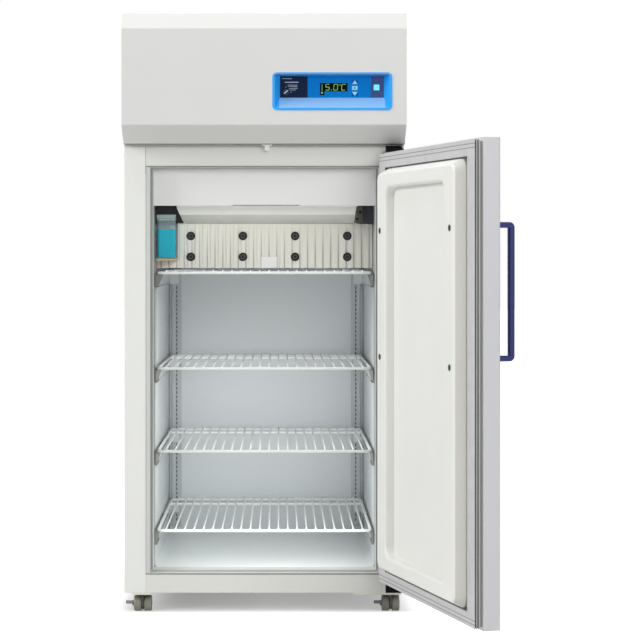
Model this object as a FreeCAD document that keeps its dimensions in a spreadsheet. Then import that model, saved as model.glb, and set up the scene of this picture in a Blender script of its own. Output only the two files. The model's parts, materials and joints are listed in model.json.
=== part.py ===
import FreeCAD, Part
import Sketcher
import math
import os

# Laboratory refrigerator, upright, one solid door hinged on the right, on four twin-wheel casters.
# Millimetres, +Z up, -Y is the front, origin on the floor under the middle of the cabinet.
# The door stands open in the rest position.

V = FreeCAD.Vector
Turn = FreeCAD.Rotation
Place = FreeCAD.Placement
doc = FreeCAD.newDocument("LaboratoryRefrigerator")
sheet = doc.addObject("Spreadsheet::Sheet", "Sizes")
NODES = []


class Size:
    """A number and the sheet expression that gives it, so that sums of sizes stay bound."""

    def __init__(self, value, text):
        self.value = float(value)
        self.text = text

    def __add__(self, other):
        other = sized(other)
        return Size(self.value + other.value, "(%s + %s)" % (self.text, other.text))

    def __radd__(self, other):
        return sized(other) + self

    def __sub__(self, other):
        other = sized(other)
        return Size(self.value - other.value, "(%s - %s)" % (self.text, other.text))

    def __rsub__(self, other):
        return sized(other) - self

    def __mul__(self, other):
        other = sized(other)
        return Size(self.value * other.value, "(%s * %s)" % (self.text, other.text))

    def __rmul__(self, other):
        return sized(other) * self

    def __truediv__(self, other):
        other = sized(other)
        return Size(self.value / other.value, "(%s / %s)" % (self.text, other.text))

    def __neg__(self):
        return Size(-self.value, "(-1 * %s)" % self.text)


def sized(amount):
    if isinstance(amount, Size):
        return amount
    return Size(amount, "%.6f" % amount if amount >= 0 else "(-%.6f)" % -amount)


def size(alias, amount, words):
    size.row += 1
    sheet.set("A%d" % size.row, words)
    sheet.set("B%d" % size.row, repr(amount))
    sheet.setAlias("B%d" % size.row, alias)
    return Size(amount, "Sizes." + alias)


size.row = 0


def whole(amount):
    return Size(math.floor(amount.value), "floor(%s)" % amount.text)


# Insulated cabinet
case_width = size("case_width", 711.0, "outer width of the cabinet")
case_depth = size("case_depth", 800.0, "outer depth of the cabinet")
case_bottom = size("case_bottom", 54.0, "height of the cabinet's underside above the floor")
case_height = size("case_height", 1134.0, "height of the insulated cabinet")
skin = size("skin", 1.2, "thickness of the painted sheet")
column_width = size("column_width", 54.5, "width of each front column")
header_height = size("header_height", 50.0, "height of the header panel")
rail_height = size("rail_height", 45.0, "height of the base rail")
panel_return = size("panel_return", 20.0, "depth of the folded edge of header and rail")
strip_side = size("strip_side", 11.4, "face of the opening's frame at the sides")
strip_top = size("strip_top", 4.0, "face of the opening's frame at the top")
strip_bottom = size("strip_bottom", 6.0, "face of the opening's frame at the bottom")
step_side = size("step_side", 6.6, "step inside the frame at the sides")
step_top = size("step_top", 3.0, "step inside the frame at the top")
step_bottom = size("step_bottom", 5.0, "step inside the frame at the bottom")
step_depth = size("step_depth", 14.0, "how far back the frame's step lies")
frame_depth = size("frame_depth", 60.0, "depth of the opening's frame")
inner_depth = size("inner_depth", 738.0, "front face to the rear wall of the chamber")
liner_skin = size("liner_skin", 1.0, "thickness of the chamber liner")

# Hood
hood_height = size("hood_height", 329.0, "height of the hood on the cabinet")
hood_reach = size("hood_reach", 95.0, "how far the hood stands in front of the cabinet")
hood_foot = size("hood_foot", 26.0, "how far the lower bevel's foot stands in front")
hood_lower = size("hood_lower", 47.5, "height of the lower bevel")
hood_upper = size("hood_upper", 41.0, "height of the upper bevel")
hood_upper_inset = size("hood_upper_inset", 26.0, "set-back of the upper bevel")
hood_bend = size("hood_bend", 5.0, "bend radius of the hood's front")
hood_gap = size("hood_gap", 4.0, "gap below the hood's overhang")
hood_wall = size("hood_wall", 3.0, "wall of the hood's front")
fascia_depth = size("fascia_depth", 20.0, "how far the hood's front runs back past the cabinet's face")
vent_pitch = size("vent_pitch", 22.0, "pitch of the hood's rear slots")
vent_over = size("vent_over", 90.0, "rear slots below the hood's top")
vent_height = size("vent_height", 9.0, "height of a rear slot")
vent_length = size("vent_length", 150.0, "length of a rear slot")
vent_start = size("vent_start", 60.0, "lowest rear slot above the cabinet's top")

# Controls
bezel_inset = size("bezel_inset", 35.5, "right end of the bezel in from the hood's side")
bezel_length = size("bezel_length", 299.0, "length of the bezel")
bezel_low = size("bezel_low", 84.2, "lower edge of the bezel above the cabinet's top")
bezel_height = size("bezel_height", 94.2, "height of the bezel")
bezel_radius = size("bezel_radius", 12.0, "corner radius of the bezel")
bezel_proud = size("bezel_proud", 1.5, "how far the bezel's rim stands proud")
bezel_lip = size("bezel_lip", 4.0, "rim over the hood's cut-out")
bezel_rim = size("bezel_rim", 6.0, "flat rim round the recess")
bezel_deep = size("bezel_deep", 24.0, "depth of the control panel in its recess")
panel_thick = size("panel_thick", 6.0, "thickness of the control panel")
panel_floor = size("panel_floor", 2.0, "bezel wall behind the panel")
panel_side = size("panel_side", 19.0, "panel in from the bezel's left end")
panel_length = size("panel_length", 260.0, "length of the control panel")
panel_height = size("panel_height", 54.0, "height of the control panel")
panel_rise = size("panel_rise", 33.0, "panel's lower edge above the bezel's")
window_offset = size("window_offset", 100.0, "display in from the panel's left end")
window_length = size("window_length", 69.0, "length of the display")
window_rise = size("window_rise", 16.0, "display above the panel's lower edge")
window_height = size("window_height", 21.0, "height of the display")
window_thick = size("window_thick", 1.5, "thickness of the display window")
key_offset = size("key_offset", 180.0, "keys in from the panel's left end")
key_width = size("key_width", 14.4, "width of a key")
key_height = size("key_height", 10.5, "height of a key")
key_gap = size("key_gap", 4.2, "gap between two keys")
key_rise = size("key_rise", 4.5, "lowest key above the panel's lower edge")
key_thick = size("key_thick", 3.5, "thickness of a key")
key_proud = size("key_proud", 1.0, "how far a key stands proud")
key_travel = size("key_travel", 1.2, "travel of a key")
key_room = size("key_room", 0.3, "clearance round a key")
alarm_offset = size("alarm_offset", 234.5, "alarm key in from the panel's left end")
alarm_rise = size("alarm_rise", 18.5, "alarm key above the panel's lower edge")
alarm_side = size("alarm_side", 14.4, "side of the square alarm key")
lock_inset = size("lock_inset", 15.0, "key switch in from the panel's left end")
lock_rise = size("lock_rise", 14.0, "key switch above the panel's lower edge")
lock_radius = size("lock_radius", 7.5, "radius of the key switch")
lock_room = size("lock_room", 0.05, "running clearance of the key switch")
lock_deep = size("lock_deep", 5.0, "depth of the key switch in the panel")
key_blade = size("key_blade", 9.0, "how far the key stands out")

# Door
door_side = size("door_side", 6.5, "door in from the cabinet's side")
door_under = size("door_under", 33.0, "door's lower edge above the cabinet's underside")
door_over = size("door_over", 19.0, "door's upper edge below the cabinet's top")
door_thick = size("door_thick", 40.0, "thickness of the door pan")
door_open = size("door_open", 105.18, "how far the door stands open, in degrees")
door_radius = size("door_radius", 5.0, "radius of the door's outer upright edges")
gasket_thick = size("gasket_thick", 19.7, "thickness of the gasket")
gasket_room = size("gasket_room", 0.3, "gap between gasket and cabinet when shut")
gasket_inset = size("gasket_inset", 5.0, "gasket in from the door's edge")
gasket_clear = size("gasket_clear", 12.0, "gasket in from the door's edge beside the hinges")
gasket_beside = size("gasket_beside", 4.0, "gap between gasket and raised block")
gasket_foot = size("gasket_foot", 7.2, "height of the gasket's foot")
gasket_rib = size("gasket_rib", 2.5, "height of a rib of the gasket")
gasket_fold = size("gasket_fold", 3.0, "height of a fold between the ribs")
gasket_waist = size("gasket_waist", 5.0, "how far a fold is set in on each side")
door_trim = size("door_trim", 8.0, "door's free edge short of the cabinet's side")
hinge_inset = size("hinge_inset", 16.0, "hinge axis in from the door's edge")
hinge_back = size("hinge_back", 25.0, "hinge axis in front of the pan's inner face")
pin_radius = size("pin_radius", 5.0, "radius of the hinge pins")
pin_room = size("pin_room", 0.05, "running clearance of pins and shafts")
pin_length = size("pin_length", 16.0, "length of a hinge pin in the door")
hinge_gap = size("hinge_gap", 3.0, "gap between door and hinge plate")
hinge_plate = size("hinge_plate", 8.0, "thickness of a hinge plate")
hinge_offset = size("hinge_offset", 25.0, "hinge plate to the left of its axis")
hinge_reach = size("hinge_reach", 17.0, "hinge plate to the right of its axis")
hinge_nose = size("hinge_nose", 12.0, "hinge plate in front of its axis")
hinge_flange = size("hinge_flange", 3.0, "thickness of the flange on the cabinet")
liner_base = size("liner_base", 2.0, "thickness of the door liner's base")
rim_room = size("rim_room", 3.6, "raised block away from the sides of the opening")
rim_under = size("rim_under", 16.5, "raised block above the chamber's floor")
rim_over = size("rim_over", 6.0, "raised block below the chamber's ceiling")
rim_stand = size("rim_stand", 20.0, "straight height of the raised block")
rim_rise = size("rim_rise", 26.0, "tapered height of the raised block")
rim_taper = size("rim_taper", 28.0, "taper of the raised block, in degrees")
rim_radius = size("rim_radius", 30.0, "corner radius of the raised block")
rim_edge_radius = size("rim_edge_radius", 7.0, "rounding of the rim")
dish_side = size("dish_side", 75.0, "width of the rim beside the dish")
dish_under = size("dish_under", 46.0, "width of the rim below the dish")
dish_over = size("dish_over", 48.0, "width of the rim above the dish")
dish_deep = size("dish_deep", 24.0, "depth of the dish")
dish_radius = size("dish_radius", 26.0, "corner radius of the dish")
plug_inset = size("plug_inset", 36.0, "liner plugs in from the raised block's side")
plug_drop = size("plug_drop", 154.0, "upper liner plugs below the raised block's top")
plug_pitch = size("plug_pitch", 311.0, "distance of two liner plugs")
plug_radius = size("plug_radius", 7.5, "radius of a liner plug")
plug_thick = size("plug_thick", 1.2, "height of a liner plug")
grip_rise = size("grip_rise", 588.5, "handle's lower end above the door's lower edge")
grip_length = size("grip_length", 308.0, "length of the handle")
grip_out = size("grip_out", 42.5, "stand-off of the handle")
grip_bar = size("grip_bar", 13.0, "thickness of the handle's bar")
grip_leg = size("grip_leg", 13.0, "thickness of the handle's legs")
grip_width = size("grip_width", 17.0, "width of the handle")
grip_inset = size("grip_inset", 30.0, "handle's middle in from the door's edge")
grip_radius = size("grip_radius", 12.0, "outer corner radius of the handle")
grip_edge_radius = size("grip_edge_radius", 4.0, "rounding of the handle's edges")

# Evaporator housing and blower cover
housing_set = size("housing_set", 36.0, "housing front behind the cabinet's face")
housing_low = size("housing_low", 93.0, "height of the housing's front panel")
fold_set = size("fold_set", 54.0, "soffit's folded step behind the housing's front")
fold_drop = size("fold_drop", 22.0, "height of the soffit's folded step")
housing_wall = size("housing_wall", 2.0, "sheet of the housing")
housing_back = size("housing_back", 480.0, "housing rear behind the cabinet's face")
cover_set = size("cover_set", 138.0, "blower cover's front behind the cabinet's face")
cover_top = size("cover_top", 138.0, "top of the blower cover below the chamber's ceiling")
cover_height = size("cover_height", 115.0, "height of the blower cover")
cover_offset = size("cover_offset", 56.0, "blower cover in from the left wall")
cover_gap = size("cover_gap", 2.0, "blower cover in from the right wall")
intake_back = size("intake_back", 60.0, "left-hand intake short of the housing's rear")
cover_depth = size("cover_depth", 340.0, "depth of the blower cover")
cover_wall = size("cover_wall", 2.5, "wall of the blower cover")
rib_pitch = size("rib_pitch", 20.1, "pitch of the cover's ribs")
rib_margin = size("rib_margin", 6.0, "first rib in from the cover's end")
rib_width = size("rib_width", 10.0, "width of a rib")
rib_proud = size("rib_proud", 3.0, "height of a rib")
stud_first = size("stud_first", 34.5, "first column of plugs from the cover's left end")
stud_last = size("stud_last", 65.8, "last column of plugs from the cover's right end")
stud_low = size("stud_low", 29.0, "lower row of plugs above the cover's bottom")
stud_rise = size("stud_rise", 54.5, "distance between the two rows")
stud_radius = size("stud_radius", 11.6, "radius of a plug's head")
stud_edge = size("stud_edge", 2.0, "slope of a plug's head")
stud_head = size("stud_head", 3.0, "height of a plug's head")
tab_width = size("tab_width", 41.0, "width of the cover's middle tab")
tab_height = size("tab_height", 29.0, "height of the cover's middle tab")
tab_proud = size("tab_proud", 5.0, "how far the tab stands proud")
intake_right = size("intake_right", 42.0, "width of the right-hand intake")
outlet_pitch = size("outlet_pitch", 24.0, "pitch of the outlet slots under the cover")
outlet_side = size("outlet_side", 40.0, "outlet slots in from the cover's ends")
outlet_front = size("outlet_front", 30.0, "first and last outlet slot in from the cover's front and rear")
outlet_width = size("outlet_width", 10.0, "width of an outlet slot")
coil_wall = size("coil_wall", 68.0, "evaporator coil in from each side wall")
coil_set = size("coil_set", 170.0, "evaporator coil behind the cabinet's face")
coil_depth = size("coil_depth", 170.0, "depth of the evaporator coil")
coil_height = size("coil_height", 108.0, "height of the evaporator coil")
end_plate = size("end_plate", 2.0, "thickness of a coil's end plates")
end_proud = size("end_proud", 6.0, "how far a coil's end plates stand proud of its fins")
fan_spread = size("fan_spread", 125.0, "evaporator fans out from the cover's middle")
motor_radius = size("motor_radius", 28.0, "radius of a fan motor")
motor_height = size("motor_height", 30.0, "height of a fan motor")
shaft_radius = size("shaft_radius", 3.0, "radius of a fan shaft")
fan_hub = size("fan_hub", 20.0, "hub radius of an evaporator fan")
fan_tip = size("fan_tip", 55.0, "tip radius of an evaporator fan")
fan_depth = size("fan_depth", 22.0, "depth of an evaporator fan")
fan_gap = size("fan_gap", 0.3, "gap between motor and fan hub")
fan_blades = size("fan_blades", 5, "number of fan blades")
blade_half = size("blade_half", 11.0, "half width of a fan blade seen along its length")
blade_thick = size("blade_thick", 2.5, "thickness of a fan blade")

# Shelves, brackets and slotted pilasters
shelf_set = size("shelf_set", 48.0, "shelf front behind the cabinet's face")
shelf_side = size("shelf_side", 6.5, "shelf in from the chamber's side walls")
shelf_depth = size("shelf_depth", 670.0, "depth of a shelf")
cross_set = size("cross_set", 108.0, "cross wire in front of the shelf's rear wire")
shelf_wire = size("shelf_wire", 4.0, "radius of a shelf's frame wire")
grid_wire = size("grid_wire", 2.25, "radius of a shelf's thin wires")
grid_pitch = size("grid_pitch", 24.0, "pitch of the thin wires")
grid_margin = size("grid_margin", 17.0, "least distance of the outer thin wires from the frame wire")
shelf_radius = size("shelf_radius", 18.0, "corner radius of the shelf's frame")
shelf_drop = size("shelf_drop", 12.0, "first shelf below the blower cover")
second_drop = size("second_drop", 245.5, "second shelf below the first")
third_drop = size("third_drop", 212.5, "third shelf below the second")
fourth_rise = size("fourth_rise", 94.5, "fourth shelf above the chamber's floor")
shelf_room = size("shelf_room", 0.3, "clearance under a shelf")
bracket_gap = size("bracket_gap", 2.0, "bracket away from the chamber wall")
bracket_sheet = size("bracket_sheet", 1.5, "sheet of a bracket")
bracket_high = size("bracket_high", 34.0, "height of a bracket")
bracket_seat = size("bracket_seat", 15.0, "width of a bracket's seat")
bracket_lip = size("bracket_lip", 5.0, "width of a bracket's lower lip")
bracket_set = size("bracket_set", 64.0, "bracket front behind the cabinet's face")
post_side = size("post_side", 23.0, "middle of a pilaster in from the chamber's side wall")
post_width = size("post_width", 26.0, "width of a pilaster")
post_deep = size("post_deep", 12.0, "depth of a pilaster")
post_low = size("post_low", 16.0, "pilaster above the chamber's floor")
post_over = size("post_over", 2.0, "pilaster's top below the blower cover's underside")
slot_pitch = size("slot_pitch", 12.7, "pitch of the pilaster's slots")
slot_width = size("slot_width", 3.2, "width of a slot")
slot_height = size("slot_height", 8.0, "height of a slot")
slot_deep = size("slot_deep", 6.0, "depth of a slot")
slot_start = size("slot_start", 15.0, "end slots in from the pilaster's ends")

# Buffer bottle
bottle_offset = size("bottle_offset", 4.0, "bottle in from the left wall")
bottle_side = size("bottle_side", 50.0, "side of the bottle")
bottle_low = size("bottle_low", 24.3, "bottle above the blower cover's bottom")
bottle_high = size("bottle_high", 104.0, "height of the bottle's body")
bottle_wall = size("bottle_wall", 2.0, "wall of the bottle")
bottle_radius = size("bottle_radius", 8.0, "corner radius of the bottle")
fluid_high = size("fluid_high", 73.0, "depth of the buffer fluid")
cap_radius = size("cap_radius", 17.0, "radius of the bottle's cap")
cap_high = size("cap_high", 10.0, "height of the bottle's cap")
tray_thick = size("tray_thick", 5.0, "thickness of the bottle's tray")
tray_tail = size("tray_tail", 60.0, "tray behind the cover's front")

# Machinery in the hood
pump_inset = size("pump_inset", 155.5, "compressor's axis in from the left side")
pump_y = size("pump_y", 170.0, "compressor behind the middle")
pump_radius = size("pump_radius", 85.0, "radius of the compressor")
pump_wall_high = size("pump_wall_high", 110.0, "straight height of the compressor")
pump_dome = size("pump_dome", 60.0, "height of the compressor's dome")
pump_foot = size("pump_foot", 14.0, "height of the compressor's feet")
foot_width = size("foot_width", 30.0, "width of the compressor's two feet")
foot_length = size("foot_length", 170.0, "length of the compressor's two feet")
heat_inset = size("heat_inset", 105.5, "condenser in from the right side")
heat_length = size("heat_length", 310.0, "length of the condenser")
heat_set = size("heat_set", 150.0, "condenser behind the cabinet's face")
heat_deep = size("heat_deep", 60.0, "depth of the condenser")
heat_high = size("heat_high", 270.0, "height of the condenser")
shroud_deep = size("shroud_deep", 45.0, "depth of the fan shroud")
shroud_hole = size("shroud_hole", 116.0, "radius of the shroud's opening")
shroud_bar = size("shroud_bar", 30.0, "height of the motor's cross bar")
bar_thick = size("bar_thick", 6.0, "thickness of the motor's cross bar")
cool_tip = size("cool_tip", 108.0, "tip radius of the condenser fan")
cool_hub = size("cool_hub", 26.0, "hub radius of the condenser fan")
cool_motor = size("cool_motor", 36.0, "radius of the condenser fan's motor")

# Casters
caster_left = size("caster_left_inset", 44.5, "left casters in from the cabinet's side")
caster_right = size("caster_right_inset", 32.5, "right casters in from the cabinet's side")
caster_inset = size("caster_inset", 36.0, "casters in from the cabinet's front and rear")
caster_plate = size("caster_plate", 6.0, "thickness of a caster plate")
plate_side = size("plate_side", 48.0, "width of a caster plate")
plate_deep = size("plate_deep", 64.0, "depth of a caster plate")
plate_long = size("plate_long", 96.0, "right plates reach this far inwards of the axis")
wheel_radius = size("wheel_radius", 20.0, "radius of a caster wheel")
wheel_width = size("wheel_width", 18.8, "width of a caster wheel")
wheel_split = size("wheel_split", 3.8, "half the gap between the two wheels")
wheel_edge = size("wheel_edge", 1.8, "rounding of the tread's edges")
trail = size("trail", 14.0, "wheel axle behind the swivel axis")
axle_radius = size("axle_radius", 3.0, "radius of the wheel axle")
swivel_radius = size("swivel_radius", 5.0, "radius of the swivel pin")
disc_radius = size("disc_radius", 15.0, "radius of the swivel disc")
disc_thick = size("disc_thick", 3.5, "thickness of the swivel disc")
web_half = size("web_half", 3.0, "half thickness of the caster's web")
pedal_gap = size("pedal_gap", 0.3, "gap between wheel and pedal")
pedal_long = size("pedal_long", 20.0, "length of the pedal's blade")
pedal_hub = size("pedal_hub", 7.0, "radius of the pedal's hub")

# Door sensor
sensor_x = size("sensor_x", 7.0, "door sensor to the right of the middle")
sensor_flange = size("sensor_flange", 26.0, "width of the sensor's flange")
sensor_stem = size("sensor_stem", 11.6, "width of the sensor's stem")
sensor_thick = size("sensor_thick", 4.0, "thickness of the sensor's flange")
sensor_long = size("sensor_long", 12.0, "length of the sensor's stem")

# Places worked out from the sizes
half = case_width / 2
front = -case_depth / 2
back = case_depth / 2
case_top = case_bottom + case_height
open_half = half - column_width
open_low = case_bottom + rail_height
open_high = case_top - header_height
inner_half = open_half - strip_side - step_side
floor_z = open_low + strip_bottom + step_bottom
ceiling_z = open_high - strip_top - step_top
rear_wall = front + inner_depth
cover_high = ceiling_z - cover_top
cover_low = cover_high - cover_height
door_low = case_bottom + door_under
door_high = case_top - door_over
door_width = case_width - 2 * door_side - door_trim
door_height = door_high - door_low
hood_top = case_top + hood_height
hood_face = front - hood_reach
fascia_back = front + fascia_depth


def bind(item, path, amount):
    item.setExpression(path, sized(amount).text)


def named(item, node):
    item.Label = node
    NODES.append(item)
    return item


def box(name, xs, ys, zs):
    item = doc.addObject("Part::Box", name)
    bind(item, "Length", xs[1] - xs[0])
    bind(item, "Width", ys[1] - ys[0])
    bind(item, "Height", zs[1] - zs[0])
    bind(item, "Placement.Base.x", xs[0])
    bind(item, "Placement.Base.y", ys[0])
    bind(item, "Placement.Base.z", zs[0])
    return item


def rod(name, start, axis, radius, length):
    turns = {"X": Turn(V(0, 1, 0), 90), "Y": Turn(V(1, 0, 0), -90), "Z": Turn()}
    item = doc.addObject("Part::Cylinder", name)
    item.Placement = Place(V(), turns[axis])
    bind(item, "Radius", radius)
    bind(item, "Height", length)
    bind(item, "Placement.Base.x", start[0])
    bind(item, "Placement.Base.y", start[1])
    bind(item, "Placement.Base.z", start[2])
    return item


def fuse(name, *parts):
    item = doc.addObject("Part::MultiFuse", name)
    item.Shapes = list(parts)
    item.Refine = True
    return item


def cut(name, base, *tools):
    item = doc.addObject("Part::Cut", name)
    item.Base = base
    item.Tool = tools[0] if len(tools) == 1 else fuse(name + "Tools", *tools)
    return item


def group(name, *parts):
    item = doc.addObject("Part::Compound", name)
    item.Links = list(parts)
    return item


def mirrored(name, source, normal):
    item = doc.addObject("Part::Mirroring", name)
    item.Source = source
    item.Normal = normal
    return item


def origin(body, role):
    for feature in body.Origin.OriginFeatures:
        if feature.Role == role:
            return feature
    raise ValueError("no origin feature " + role)


def sketch(body, plane, level, name):
    item = body.newObject("Sketcher::SketchObject", name)
    item.AttachmentSupport = [(origin(body, plane + "_Plane"), "")]
    item.MapMode = "FlatFace"
    away = -sized(level) if plane == "XZ" else sized(level)
    bind(item, "AttachmentOffset.Base.z", away)
    return item


def dimension(drawing, kind, amount, *where):
    index = drawing.addConstraint(Sketcher.Constraint(kind, *where, sized(amount).value))
    drawing.setExpression("Constraints[%d]" % index, sized(amount).text)


def pin(drawing, edge, end, across, up):
    dimension(drawing, "DistanceX", across, -1, 1, edge, end)
    dimension(drawing, "DistanceY", up, -1, 1, edge, end)


def outline(drawing, points):
    first = drawing.GeometryCount
    count = len(points)
    corners = [V(sized(a).value, sized(b).value, 0) for a, b in points]
    for i in range(count):
        drawing.addGeometry(Part.LineSegment(corners[i], corners[(i + 1) % count]))
    for i in range(count):
        after = first + (i + 1) % count
        drawing.addConstraint(Sketcher.Constraint("Coincident", first + i, 2, after, 1))
    for i, point in enumerate(points):
        pin(drawing, first + i, 1, point[0], point[1])


def oblong(drawing, xs, ys):
    outline(drawing, [(xs[0], ys[0]), (xs[1], ys[0]), (xs[1], ys[1]), (xs[0], ys[1])])


def rounded(drawing, xs, ys, radius):
    x0 = sized(xs[0]).value
    x1 = sized(xs[1]).value
    y0 = sized(ys[0]).value
    y1 = sized(ys[1]).value
    r = sized(radius).value
    first = drawing.GeometryCount
    centres = [V(x1 - r, y0 + r, 0), V(x1 - r, y1 - r, 0), V(x0 + r, y1 - r, 0), V(x0 + r, y0 + r, 0)]
    starts = [V(x0 + r, y0, 0), V(x1, y0 + r, 0), V(x1 - r, y1, 0), V(x0, y1 - r, 0)]
    ends = [V(x1 - r, y0, 0), V(x1, y1 - r, 0), V(x0 + r, y1, 0), V(x0, y0 + r, 0)]
    for i in range(4):
        drawing.addGeometry(Part.LineSegment(starts[i], ends[i]))
        arc = Part.Circle(centres[i], V(0, 0, 1), r)
        angle = math.pi * (i - 1) / 2
        drawing.addGeometry(Part.ArcOfCircle(arc, angle, angle + math.pi / 2))
    for i in range(8):
        after = first + (i + 1) % 8
        drawing.addConstraint(Sketcher.Constraint("Tangent", first + i, 2, after, 1))
    for i in (0, 4):
        drawing.addConstraint(Sketcher.Constraint("Horizontal", first + i))
        drawing.addConstraint(Sketcher.Constraint("Vertical", first + i + 2))
    for i in (3, 5, 7):
        drawing.addConstraint(Sketcher.Constraint("Equal", first + 1, first + i))
    dimension(drawing, "Radius", radius, first + 1)
    dimension(drawing, "DistanceX", xs[0], -1, 1, first + 6, 1)
    dimension(drawing, "DistanceX", xs[1], -1, 1, first + 2, 1)
    dimension(drawing, "DistanceY", ys[0], -1, 1, first, 1)
    dimension(drawing, "DistanceY", ys[1], -1, 1, first + 4, 1)


def ring(drawing, across, up, radius):
    index = drawing.addGeometry(Part.Circle(V(sized(across).value, sized(up).value, 0), V(0, 0, 1),
                                            sized(radius).value))
    pin(drawing, index, 3, across, up)
    dimension(drawing, "Radius", radius, index)


def pad(body, drawing, length, backwards=False, taper=None):
    item = body.newObject("PartDesign::Pad", drawing.Name + "Pad")
    item.Profile = drawing
    item.Reversed = backwards
    bind(item, "Length", length)
    if taper is not None:
        bind(item, "TaperAngle", taper)
    return item


def pocket(body, drawing, length, backwards=False):
    item = body.newObject("PartDesign::Pocket", drawing.Name + "Pocket")
    item.Profile = drawing
    item.Reversed = backwards
    bind(item, "Length", length)
    return item


def row(body, feature, role, length, count):
    item = body.newObject("PartDesign::LinearPattern", feature.Name + "Row")
    item.Originals = [feature]
    item.Direction = (origin(body, role), [""])
    bind(item, "Length", length)
    bind(item, "Occurrences", count)
    body.Tip = item
    return item


def circle_of(body, feature, role, count):
    item = body.newObject("PartDesign::PolarPattern", feature.Name + "Circle")
    item.Originals = [feature]
    item.Axis = (origin(body, role), [""])
    item.Angle = 360
    bind(item, "Occurrences", count)
    body.Tip = item
    return item


def rounding(body, base, radius, chosen):
    doc.recompute()
    names = ["Edge%d" % (i + 1) for i, edge in enumerate(base.Shape.Edges) if chosen(edge)]
    if not names:
        raise ValueError("no edges to round on " + base.Name)
    item = body.newObject("PartDesign::Fillet", base.Name + "Round")
    item.Base = (base, names)
    bind(item, "Radius", radius)
    return item


def along(edge, axis):
    if edge.Curve.TypeId != "Part::GeomLine":
        return False
    return abs(edge.tangentAt(edge.FirstParameter).dot(axis)) > 0.999


def near(amount, target):
    return abs(amount - sized(target).value) < 0.01


def around(amount):
    return (-amount, amount)


# Outer case: folded sheet, open between the front columns
outside = box("CaseOutside", around(half), (front, back), (case_bottom, case_top))
inside = box("CaseInside", around(half - skin), (front + skin, back - skin),
             (case_bottom + skin, case_top - skin))
gateway = box("CaseGateway", around(open_half), (front - 1, front + skin), (case_bottom - 1, case_top + 1))
named(cut("OuterCase", outside, inside, gateway), "outer_case")

# Header panel and base rail, each a sheet with one folded edge
header_sheet = box("HeaderSheet", around(open_half), (front, front + skin), (open_high, case_top))
header_fold = box("HeaderFold", around(open_half), (front + skin, front + panel_return),
                  (open_high, open_high + skin))
named(fuse("HeaderPanel", header_sheet, header_fold), "header_panel")
rail_sheet = box("RailSheet", around(open_half), (front, front + skin), (case_bottom, open_low))
rail_fold = box("RailFold", around(open_half), (front + skin, front + panel_return),
                (open_low - skin, open_low))
named(fuse("BaseRail", rail_sheet, rail_fold), "base_rail")

# Chamber liner
liner_out = box("LinerOutside", around(inner_half + liner_skin),
                (front + frame_depth, rear_wall + liner_skin),
                (floor_z - liner_skin, ceiling_z + liner_skin))
liner_in = box("LinerInside", around(inner_half), (front + frame_depth, rear_wall), (floor_z, ceiling_z))
named(cut("InnerLiner", liner_out, liner_in), "inner_liner")

# Foamed insulation between case and liner
foam_block = box("FoamBlock", around(half - skin), (front + skin, back - skin),
                 (case_bottom + skin, case_top - skin))
foam_frame = box("FoamFrame", around(open_half), (front, front + frame_depth), (open_low, open_high))
foam_liner = box("FoamLiner", around(inner_half + liner_skin),
                 (front + frame_depth, rear_wall + liner_skin),
                 (floor_z - liner_skin, ceiling_z + liner_skin))
foam_header = box("FoamHeader", around(open_half), (front, front + panel_return),
                  (open_high, open_high + skin))
foam_rail = box("FoamRail", around(open_half), (front, front + panel_return), (open_low - skin, open_low))
named(cut("Insulation", foam_block, foam_frame, foam_liner, foam_header, foam_rail), "insulation")

# Stepped frame round the opening
frame_block = box("FrameBlock", around(open_half), (front, front + frame_depth), (open_low, open_high))
frame_wide = box("FrameWide", around(open_half - strip_side), (front - 1, front + step_depth),
                 (open_low + strip_bottom, open_high - strip_top))
frame_hole = box("FrameHole", around(inner_half), (front - 1, front + frame_depth + 1), (floor_z, ceiling_z))
named(cut("BreakerFrame", frame_block, frame_wide, frame_hole), "breaker_frame")

# Hood front: bevelled fascia pressed as one shell, open at the rear
fascia = doc.addObject("PartDesign::Body", "HoodFront")
fascia_profile = sketch(fascia, "YZ", -half, "FasciaProfile")
outline(fascia_profile, [
    (front - hood_foot, case_top + hood_gap),
    (hood_face, case_top + hood_lower),
    (hood_face, hood_top - hood_upper),
    (hood_face + hood_upper_inset, hood_top),
    (fascia_back, hood_top),
    (fascia_back, case_top),
    (front + skin, case_top),
    (front + skin, case_top + hood_gap),
])
fascia_block = pad(fascia, fascia_profile, case_width)
rounding(fascia, fascia_block, hood_bend,
         lambda edge: along(edge, V(1, 0, 0)) and edge.Vertexes[0].Point.y < front.value - 1)
fascia_hollow = sketch(fascia, "YZ", hood_wall - half, "FasciaHollow")
outline(fascia_hollow, [
    (front - hood_foot + 0.2 * hood_wall, case_top + hood_gap + hood_wall),
    (hood_face + hood_wall, case_top + hood_lower + 0.5 * hood_wall),
    (hood_face + hood_wall, hood_top - hood_upper - 0.3 * hood_wall),
    (hood_face + hood_upper_inset + 0.6 * hood_wall, hood_top - hood_wall),
    (fascia_back + 1, hood_top - hood_wall),
    (fascia_back + 1, case_top + hood_gap + hood_wall),
])
pocket(fascia, fascia_hollow, case_width - 2 * hood_wall, backwards=True)
bezel_x = (half - bezel_inset - bezel_length, half - bezel_inset)
bezel_z = (case_top + bezel_low, case_top + bezel_low + bezel_height)
cutout_x = (bezel_x[0] + bezel_lip, bezel_x[1] - bezel_lip)
cutout_z = (bezel_z[0] + bezel_lip, bezel_z[1] - bezel_lip)
fascia_hole = sketch(fascia, "XZ", hood_face - 1, "FasciaHole")
rounded(fascia_hole, cutout_x, cutout_z, bezel_radius - bezel_lip)
pocket(fascia, fascia_hole, hood_wall + 2)
named(fascia, "hood_front")

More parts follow.
